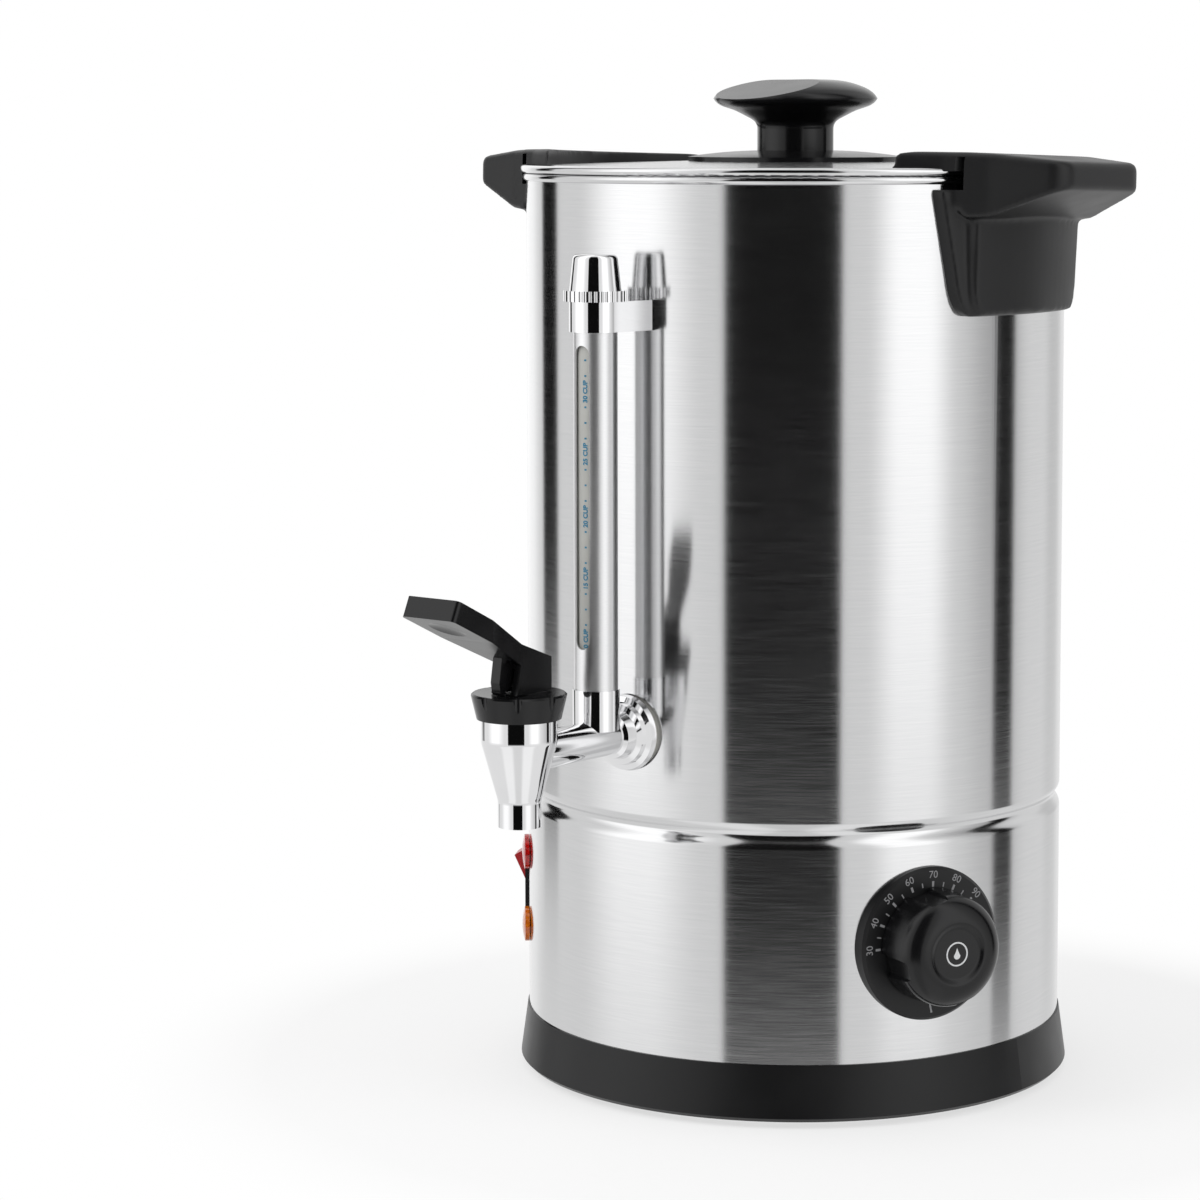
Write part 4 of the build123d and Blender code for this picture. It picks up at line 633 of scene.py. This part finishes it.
def knob_symbol():
    """Printed ring with a drop in it."""
    clear_selection()
    bpy.ops.mesh.primitive_circle_add(vertices=64, radius=RING_RADIUS, fill_type="NGON")
    edit_all()
    bpy.ops.mesh.inset(thickness=RING_WIDTH)
    bpy.ops.mesh.delete(type="FACE")
    bpy.ops.mesh.select_all(action="SELECT")
    bpy.ops.mesh.extrude_region_move(TRANSFORM_OT_translate={"value": (0, 0, PRINT)})
    ring = leave_edit()
    clear_selection()
    bpy.ops.mesh.primitive_circle_add(vertices=32, radius=DROP_RADIUS, fill_type="NGON")
    drop = bpy.context.object
    for vertex in drop.data.vertices:
        rise = max(0.0, vertex.co.y) / DROP_RADIUS
        vertex.co.y += DROP_RADIUS * rise ** 2
        vertex.co.x *= 1 - DROP_TAPER * rise
    shift(drop, (0, -DROP_SINK, PRINT))
    knob_face = furthest("dial_knob", dial_out, dial_centre)
    matrix = facing(dial_centre, dial_across, dial_out, knob_face - DISC_DEPTH)
    settle(join([ring, drop]), "knob_symbol", "dial", scale_white, matrix)


# ==== handles =================================================================
HANDLE_INNER = 104.6 * MM           # round inner edge over the rim
HANDLE_CORNER = 6.5 * MM
GRIP_STATIONS = (                   # from the axis: place, half width, low, high
    (78.0 * MM, 62.5 * MM, 373.4 * MM, 386.9 * MM),
    (105.0 * MM, 47.0 * MM, 373.4 * MM, 386.9 * MM),
    (113.0 * MM, 43.6 * MM, 360.8 * MM, 386.9 * MM),
    (122.0 * MM, 39.6 * MM, 361.6 * MM, 386.6 * MM),
    (150.9 * MM, 29.3 * MM, 373.2 * MM, 383.8 * MM),
)
GRIP_LEAN = 1.6                     # both grips stand higher at the front
GRIP_END = 149.0 * MM               # edges beyond this are the outer end's
GRIP_TOP = 382.4 * MM               # edges above this are the top's
GRIP_MIDDLE = 20.0 * MM             # edges nearer the middle stay sharp
EDGE_ROUND = 2.6 * MM
SADDLE_FACE = (118.0 * MM, 118.0 * MM)   # saddle and pad are turned about the urn's axis
SADDLE_HALF = (41.4 * MM, 48.0 * MM)     # at the two heights below
PAD_FACE = (120.6 * MM, 123.0 * MM)
PAD_HALF = (37.2 * MM, 40.0 * MM)
PAD_RAISE = 0.5 * MM
BLOCK_HEIGHTS = (330.0 * MM, 373.0 * MM)
BLOCK_LOW = 323.0 * MM
BLOCK_BACK = 95.0 * MM
BLOCK_CORNER = 13.0 * MM
CORNER_BAND = 6.0 * MM              # height in which the corners' edges lie
WALL_REACH = 113.1 * MM
RIM_NOTCH = (119.4 * MM, 373.2 * MM, 380.6 * MM)
SLIT_REACH = (118.8 * MM, 121.4 * MM)    # narrow slit beside the rim
SLIT_HALF = 36.0 * MM               # it is left out this far from the middle
SLIT_TOP = 386.2 * MM
BLANK_HEIGHTS = (0.3, 0.5)          # of cutters that pass right through
SKIN_GRAIN = 0.9 * MM               # voxel of the moulding's soft edges
SKIN_SMOOTHING = 14
SKIN_KEPT = 0.4                     # share of the faces that is kept
HANDLE_SMOOTH = 35.0


def trim(piece, point, normal):
    """Cut a convex blank off along a plane and close it."""
    pick(piece)
    edit_all()
    bpy.ops.mesh.bisect(plane_co=point, plane_no=normal, use_fill=True, clear_outer=True)
    leave_edit()


def round_edges(piece, width, segments, chosen):
    """Bevel the edges whose middle and direction a test accepts."""
    pick(piece)
    bpy.ops.object.mode_set(mode="EDIT")
    bpy.ops.mesh.select_mode(type="EDGE")
    bpy.ops.mesh.select_all(action="DESELECT")
    leave_edit()
    for edge in piece.data.edges:
        ends = [piece.data.vertices[index].co for index in edge.vertices]
        edge.select = chosen((ends[0] + ends[1]) / 2, (ends[1] - ends[0]).normalized())
    bpy.ops.object.mode_set(mode="EDIT")
    bpy.ops.mesh.bevel(offset=width, segments=segments, affect="EDGES")
    leave_edit()


def loft(stations):
    """Solid drawn out along X through upright rectangles: place, half width, low, high."""
    clear_selection()
    at, half, low, high = stations[0]
    middle = (low + high) / 2
    bpy.ops.mesh.primitive_plane_add(size=1, location=(at, 0, middle), rotation=(0, pi / 2, 0))
    bpy.ops.object.transform_apply(location=True, rotation=True, scale=False)
    edit_all()
    bpy.ops.transform.resize(value=(1, 2 * half, high - low), center_override=(at, 0, middle))
    for next_at, next_half, next_low, next_high in stations[1:]:
        next_middle = (next_low + next_high) / 2
        bpy.ops.mesh.extrude_region_move(
            TRANSFORM_OT_translate={"value": (next_at - at, 0, next_middle - middle)})
        bpy.ops.transform.resize(
            value=(1, next_half / half, (next_high - next_low) / (high - low)),
            center_override=(next_at, 0, next_middle))
        at, half, low, high, middle = next_at, next_half, next_low, next_high, next_middle
    bpy.ops.mesh.select_all(action="SELECT")
    bpy.ops.mesh.normals_make_consistent(inside=False)
    return leave_edit()


def grip_blank():
    """Grip plate, thick at the block and thin at its outer end."""
    grip = loft(GRIP_STATIONS)
    edit_all()
    bpy.ops.transform.rotate(
        value=radians(GRIP_LEAN), orient_axis="X", center_override=(0, 0, GRIP_STATIONS[-1][3]))
    leave_edit()

    def end_corner(middle, way):
        return middle.x > GRIP_END and abs(way.z) > 0.9

    def top_edge(middle, way):
        outer = abs(middle.y) > GRIP_MIDDLE or middle.x > GRIP_END
        return middle.z > GRIP_TOP and abs(way.z) < 0.4 and outer

    round_edges(grip, HANDLE_CORNER, 6, end_corner)
    round_edges(grip, EDGE_ROUND, 3, top_edge)
    return grip


def block_blank(face, half, low):
    """Saddle or pad of the block: a turned piece between two slanted flanks."""
    blank = drum(face[0], low, BLOCK_HEIGHTS[1], face[1])
    trim(blank, (BLOCK_BACK, 0, 0), (-1, 0, 0))
    rise = BLOCK_HEIGHTS[1] - BLOCK_HEIGHTS[0]
    widening = half[1] - half[0]
    for side in (1, -1):
        trim(blank, (0, side * half[0], BLOCK_HEIGHTS[0]), (0, side * rise, -widening))

    def lower_corner(middle, way):
        at_flank = abs(middle.y) > 0.8 * half[0]
        return abs(middle.z - low) < CORNER_BAND and at_flank and abs(way.x) > 0.5

    round_edges(blank, BLOCK_CORNER, 6, lower_corner)
    return blank


def rim_slit():
    """Cutter for the slits beside the rim, towards both ends of the block."""
    low = RIM_NOTCH[1]
    slit = drum(SLIT_REACH[1], low, SLIT_TOP)
    combine(slit, drum(SLIT_REACH[0], low - MM, SLIT_TOP + MM), "DIFFERENCE")
    combine(slit, block((0.2, 2 * SLIT_HALF, 0.5), centre=(0.1, 0, 0.25)), "DIFFERENCE")
    return slit


def handle_piece():
    """Right-hand handle as one moulding."""
    handle = grip_blank()
    combine(handle, block_blank(SADDLE_FACE, SADDLE_HALF, BLOCK_LOW), "UNION")
    combine(handle, block_blank(PAD_FACE, PAD_HALF, BLOCK_LOW + PAD_RAISE), "UNION")
    combine(handle, drum(HANDLE_INNER, *BLANK_HEIGHTS), "DIFFERENCE")
    finish_with(handle, "REMESH", mode="VOXEL", voxel_size=SKIN_GRAIN)
    finish_with(handle, "SMOOTH", factor=0.5, iterations=SKIN_SMOOTHING)
    finish_with(handle, "DECIMATE", ratio=SKIN_KEPT)
    combine(handle, rim_slit(), "DIFFERENCE")
    combine(handle, drum(*RIM_NOTCH), "DIFFERENCE")
    wall = drum(WALL_REACH, BLANK_HEIGHTS[0], RIM_NOTCH[1] + 2 * MM, sides=256)
    combine(handle, wall, "DIFFERENCE")
    return handle


def fit_handles():
    """Both handles, each with its own mesh."""
    right = handle_piece()
    pick(right)
    bpy.ops.object.duplicate()
    edit_all()
    bpy.ops.transform.mirror(constraint_axis=(True, False, False), center_override=(0, 0, 0))
    bpy.ops.mesh.normals_make_consistent(inside=False)
    left = leave_edit()
    for piece, side in ((right, "right"), (left, "left")):
        pick(piece)
        bpy.ops.object.shade_smooth_by_angle(angle=radians(HANDLE_SMOOTH))
        settle(piece, "handle_moulding_" + side, "urn", black_handle)
        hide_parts("handle_" + side)


# ==== shell ===================================================================
WALL_OUTER = 113.0 * MM
WALL_THICK = 0.6 * MM
WALL_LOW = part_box("outer_shell")[0].z
BEAD_Z = 377.0 * MM
BEAD_REACH = 112.8 * MM
BEAD_RADIUS = 1.7 * MM
BEAD_SIDES = 24
GROOVE_Z = 117.5 * MM
GROOVE_HALF = 5.4 * MM
GROOVE_DEPTH = 2.2 * MM
GROOVE_POWER = 1.2          # above 1, the groove's lips are softer than its floor
GROOVE_STEPS = 26
ROUND_STEPS = 360
SHELL_SMOOTH = 30.0
SLACK = 0.01 * MM           # points closer than this are one
# Holes: turn from the tap, height, place across and radius.
HOLES = (
    (0.0, 155.8 * MM, 0.0, 8.6 * MM),
    (0.0, 323.8 * MM, 0.0, 2.1 * MM),
    (81.0, 345.0 * MM, 0.0, 2.1 * MM),
    (99.0, 345.0 * MM, 0.0, 2.1 * MM),
    (-81.0, 345.0 * MM, 0.0, 2.1 * MM),
    (-99.0, 345.0 * MM, 0.0, 2.1 * MM),
    (64.5, 72.4 * MM, 0.0, 3.4 * MM),
    (64.5, 72.4 * MM, -12.0 * MM, 1.7 * MM),
    (64.5, 72.4 * MM, 12.0 * MM, 1.7 * MM),
    (-48.0, 90.6 * MM, 0.0, 5.6 * MM),
    (-48.0, 59.4 * MM, 0.0, 5.6 * MM),
    (180.0, 42.0 * MM, 0.0, 7.6 * MM),
)
# The switch's: turn, height, half width and half height.
SWITCH_HOLE = (-58.5, 75.6 * MM, 6.95 * MM, 13.95 * MM)
CUTTER_DEPTH = 16.0 * MM


def hole_cutter():
    """Every hole of the shell as one cutter."""
    cutters = []
    for turn, height, across, radius in HOLES:
        angle = radians(turn)
        clear_selection()
        bpy.ops.mesh.primitive_cylinder_add(
            vertices=48, radius=radius, depth=CUTTER_DEPTH,
            location=outward(angle) * WALL_OUTER + level_way(angle) * across + UP * height,
            rotation=(pi / 2, 0, angle))
        cutters.append(bpy.context.object)
    turn, height, half_width, half_height = SWITCH_HOLE
    angle = radians(turn)
    clear_selection()
    bpy.ops.mesh.primitive_cube_add(
        size=2, location=outward(angle) * WALL_OUTER + UP * height,
        rotation=(pi / 2, 0, angle), scale=(half_width, half_height, CUTTER_DEPTH / 2))
    cutters.append(bpy.context.object)
    for cutter in cutters:
        pick(cutter)
        bpy.ops.object.transform_apply(location=True, rotation=True, scale=True)
    return join(cutters)


def wall_section():
    """Upright strip of the shell's wall, open inside, with the groove pressed in."""
    clear_selection()
    height = BEAD_Z - WALL_LOW
    middle = (WALL_OUTER - WALL_THICK / 2, 0, WALL_LOW + height / 2)
    bpy.ops.mesh.primitive_plane_add(size=1, location=middle, rotation=(pi / 2, 0, 0))
    strip = bpy.context.object
    bpy.ops.object.transform_apply(location=True, rotation=True, scale=False)
    edit_all()
    bpy.ops.transform.resize(value=(WALL_THICK, 1, height), center_override=middle)
    stations = [2 * step / GROOVE_STEPS - 1 for step in range(GROOVE_STEPS + 1)]
    for along in stations:
        slice_level(GROOVE_Z + GROOVE_HALF * along)
    bpy.ops.mesh.select_mode(type="VERT")
    for along in stations[1:-1]:
        level = GROOVE_Z + GROOVE_HALF * along
        bpy.ops.mesh.select_all(action="DESELECT")
        leave_edit()
        for vertex in strip.data.vertices:
            vertex.select = abs(vertex.co.z - level) < 2 * SLACK
        bpy.ops.object.mode_set(mode="EDIT")
        inward = GROOVE_DEPTH * (0.5 + 0.5 * cos(pi * along)) ** GROOVE_POWER
        bpy.ops.transform.translate(value=(-inward, 0, 0))
    bpy.ops.mesh.select_mode(type="EDGE")
    bpy.ops.mesh.select_all(action="DESELECT")
    leave_edit()
    for edge in strip.data.edges:
        low, high = sorted(strip.data.vertices[index].co.z for index in edge.vertices)
        edge.select = high - low < SLACK and WALL_LOW + MM < low < BEAD_Z - MM
    bpy.ops.object.mode_set(mode="EDIT")
    bpy.ops.mesh.delete(type="EDGE_FACE")
    return leave_edit()


def shell_skin():
    """Outer shell turned from its section, with its holes and a rolled top."""
    skin = wall_section()
    edit_all()
    bpy.ops.mesh.spin(steps=ROUND_STEPS, angle=2 * pi, center=(0, 0, 0), axis=(0, 0, 1))
    bpy.ops.mesh.select_all(action="SELECT")
    bpy.ops.mesh.remove_doubles(threshold=SLACK)
    bpy.ops.mesh.normals_make_consistent(inside=False)
    leave_edit()
    combine(skin, hole_cutter(), "DIFFERENCE")
    clear_selection()
    bpy.ops.mesh.primitive_torus_add(
        major_radius=BEAD_REACH, minor_radius=BEAD_RADIUS, location=(0, 0, BEAD_Z),
        major_segments=ROUND_STEPS, minor_segments=BEAD_SIDES)
    bpy.ops.object.transform_apply(location=True, rotation=False, scale=False)
    skin = join([skin, bpy.context.object])
    bpy.ops.object.shade_smooth_by_angle(angle=radians(SHELL_SMOOTH))
    settle(skin, "shell_skin", "urn", shell_steel)
    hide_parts("outer_shell")


def working_spring():
    """Copy of the tap spring with its doubled points merged, riding on the urn."""
    pick(nodes["tap_spring"])
    bpy.ops.object.duplicate()
    edit_all()
    bpy.ops.mesh.remove_doubles(threshold=SLACK / 10)
    spring = leave_edit()
    settle(spring, "working_spring", "urn", tank_steel)
    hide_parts("tap_spring")
    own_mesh(spring)


dial_scale()
gauge_scale()
working_spring()
knob_symbol()
sight_tube()
fit_handles()
shell_skin()


# ==== studio ==================================================================
def studio_world():
    """White room; glossy rays see its soft boxes and black cards."""
    world = bpy.data.worlds.new("studio")
    bpy.context.scene.world = world
    world.use_nodes = True
    tree = world.node_tree
    tree.nodes.clear()
    heading = add_node(tree, "ShaderNodeTexCoord").outputs["Generated"]
    east, north, up = split(tree, heading)
    turn = radians(VIEW_TURN)
    toward = compute(tree, "SUBTRACT", product(tree, east, sin(turn)),
                     product(tree, north, cos(turn)))
    right = total(tree, product(tree, east, cos(turn)), product(tree, north, sin(turn)))
    azimuth = compute(tree, "DEGREES", compute(tree, "ARCTAN2", right, toward))
    elevation = compute(tree, "DEGREES", compute(tree, "ARCSINE", up))

    def upright_band(centre, half, soft):
        away = compute(tree, "ABSOLUTE", compute(tree, "SUBTRACT", azimuth, centre))
        return spread(tree, away, half, half + soft, 1.0, 0.0, smooth=True)

    def above(none, full):
        return spread(tree, elevation, none, full, smooth=True)

    def below(full, none):
        return spread(tree, elevation, full, none, 1.0, 0.0, smooth=True)

    level = spread(tree, elevation, -HORIZON_BLEND, HORIZON_BLEND, GROUND_LEVEL, SKY_LEVEL)
    level = product(tree, level, GLOSS_LEVEL / SKY_LEVEL)
    for boxes, reach in ((SOFT_BOXES, above(BOX_BOTTOM[1], BOX_BOTTOM[0])),
                         (LOW_BOXES, below(*LOW_TOP))):
        for centre, half, soft, gain in boxes:
            glow = product(tree, upright_band(centre, half, soft), reach)
            level = compute(tree, "MULTIPLY_ADD", glow, gain, level)
    under_top = below(*CARD_TOP)
    for centre, half, soft, bottom in CARDS:
        upright = product(tree, under_top, above(bottom[1], bottom[0]))
        cover = product(tree, upright_band(centre, half, soft), upright)
        clear = compute(tree, "SUBTRACT", 1.0, cover)
        level = total(tree, product(tree, level, clear), product(tree, cover, CARD_TONE))
    rays = add_node(tree, "ShaderNodeLightPath").outputs
    matt = compute(tree, "SUBTRACT", 1.0, rays["Is Glossy Ray"])
    lit = total(tree, product(tree, rays["Is Glossy Ray"], level),
                product(tree, matt, DIFFUSE_LEVEL))
    seen = compute(tree, "MAXIMUM", rays["Is Camera Ray"], rays["Is Transmission Ray"])
    unseen = compute(tree, "SUBTRACT", 1.0, seen)
    strength = total(tree, product(tree, lit, unseen), seen)
    shade = add_node(tree, "ShaderNodeBackground", i0=(1, 1, 1, 1), i1=strength)
    output = add_node(tree, "ShaderNodeOutputWorld")
    tree.links.new(shade.outputs[0], output.inputs[0])


def white_floor():
    """Pale floor that keeps the urn's shadow and fades to plain white."""
    clear_selection()
    bpy.ops.mesh.primitive_circle_add(vertices=96, radius=FLOOR_RADIUS, fill_type="NGON")
    floor = bpy.context.object
    floor.name = "floor"
    material = bpy.data.materials.new("floor_white")
    material.use_nodes = True
    tree = material.node_tree
    tree.nodes.clear()
    parts = split(tree, object_place(tree))
    fade = spread(tree, level_reach(tree, parts[0], parts[1]), *FLOOR_FADE, smooth=True)
    rays = add_node(tree, "ShaderNodeLightPath").outputs
    plain = product(tree, compute(tree, "MAXIMUM", fade, FLOOR_GLOW), rays["Is Camera Ray"])
    matt = add_node(
        tree, "ShaderNodeBsdfDiffuse", Color=(FLOOR_TONE, FLOOR_TONE, FLOOR_TONE, 1))
    white = add_node(tree, "ShaderNodeEmission", i0=(1, 1, 1, 1), i1=1.0)
    mixed = add_node(
        tree, "ShaderNodeMixShader", i0=plain, i1=matt.outputs[0], i2=white.outputs[0])
    output = add_node(tree, "ShaderNodeOutputMaterial")
    tree.links.new(mixed.outputs[0], output.inputs[0])
    floor.data.materials.append(material)
    floor.visible_glossy = False


def soft_lamp(name, turn, height, reach, size, power):
    """Large soft lamp aimed at the urn."""
    data = bpy.data.lights.new(name, "AREA")
    data.shape = "DISK"
    data.size = size
    data.energy = power
    lamp = bpy.data.objects.new(name, data)
    bpy.context.scene.collection.objects.link(lamp)
    lamp.location = outward(radians(VIEW_TURN + turn)) * reach + UP * height
    lamp.rotation_euler = (LAMP_AIM - lamp.location).to_track_quat("-Z", "Y").to_euler()
    lamp.visible_glossy = False
    lamp.visible_camera = False


def studio_camera():
    """Long lens, level with the rim, aimed at the middle of the frame."""
    data = bpy.data.cameras.new("camera")
    camera = bpy.data.objects.new("camera", data)
    bpy.context.scene.collection.objects.link(camera)
    toward = outward(radians(VIEW_TURN))
    right = level_way(radians(VIEW_TURN))
    half = FRAME_PIXELS / 2
    sight_x = half - LENS_SHIFT[0] * FRAME_PIXELS
    sight_y = half + LENS_SHIFT[1] * FRAME_PIXELS
    aim = (-toward * FOCAL_PIXELS + right * (sight_x - AXIS_PIXEL)
           - UP * (sight_y - HORIZON_PIXEL))
    camera.location = toward * CAMERA_REACH + UP * CAMERA_HEIGHT
    camera.rotation_euler = aim.to_track_quat("-Z", "Y").to_euler()
    data.sensor_width = SENSOR_WIDTH
    data.lens = SENSOR_WIDTH * aim.length / FRAME_PIXELS
    data.shift_x, data.shift_y = LENS_SHIFT
    data.clip_start, data.clip_end = CLIP_RANGE
    bpy.context.scene.camera = camera


studio_world()
white_floor()
for name, setting in LAMPS.items():
    soft_lamp(name, *setting)
studio_camera()
bpy.context.scene.view_settings.view_transform = "Standard"
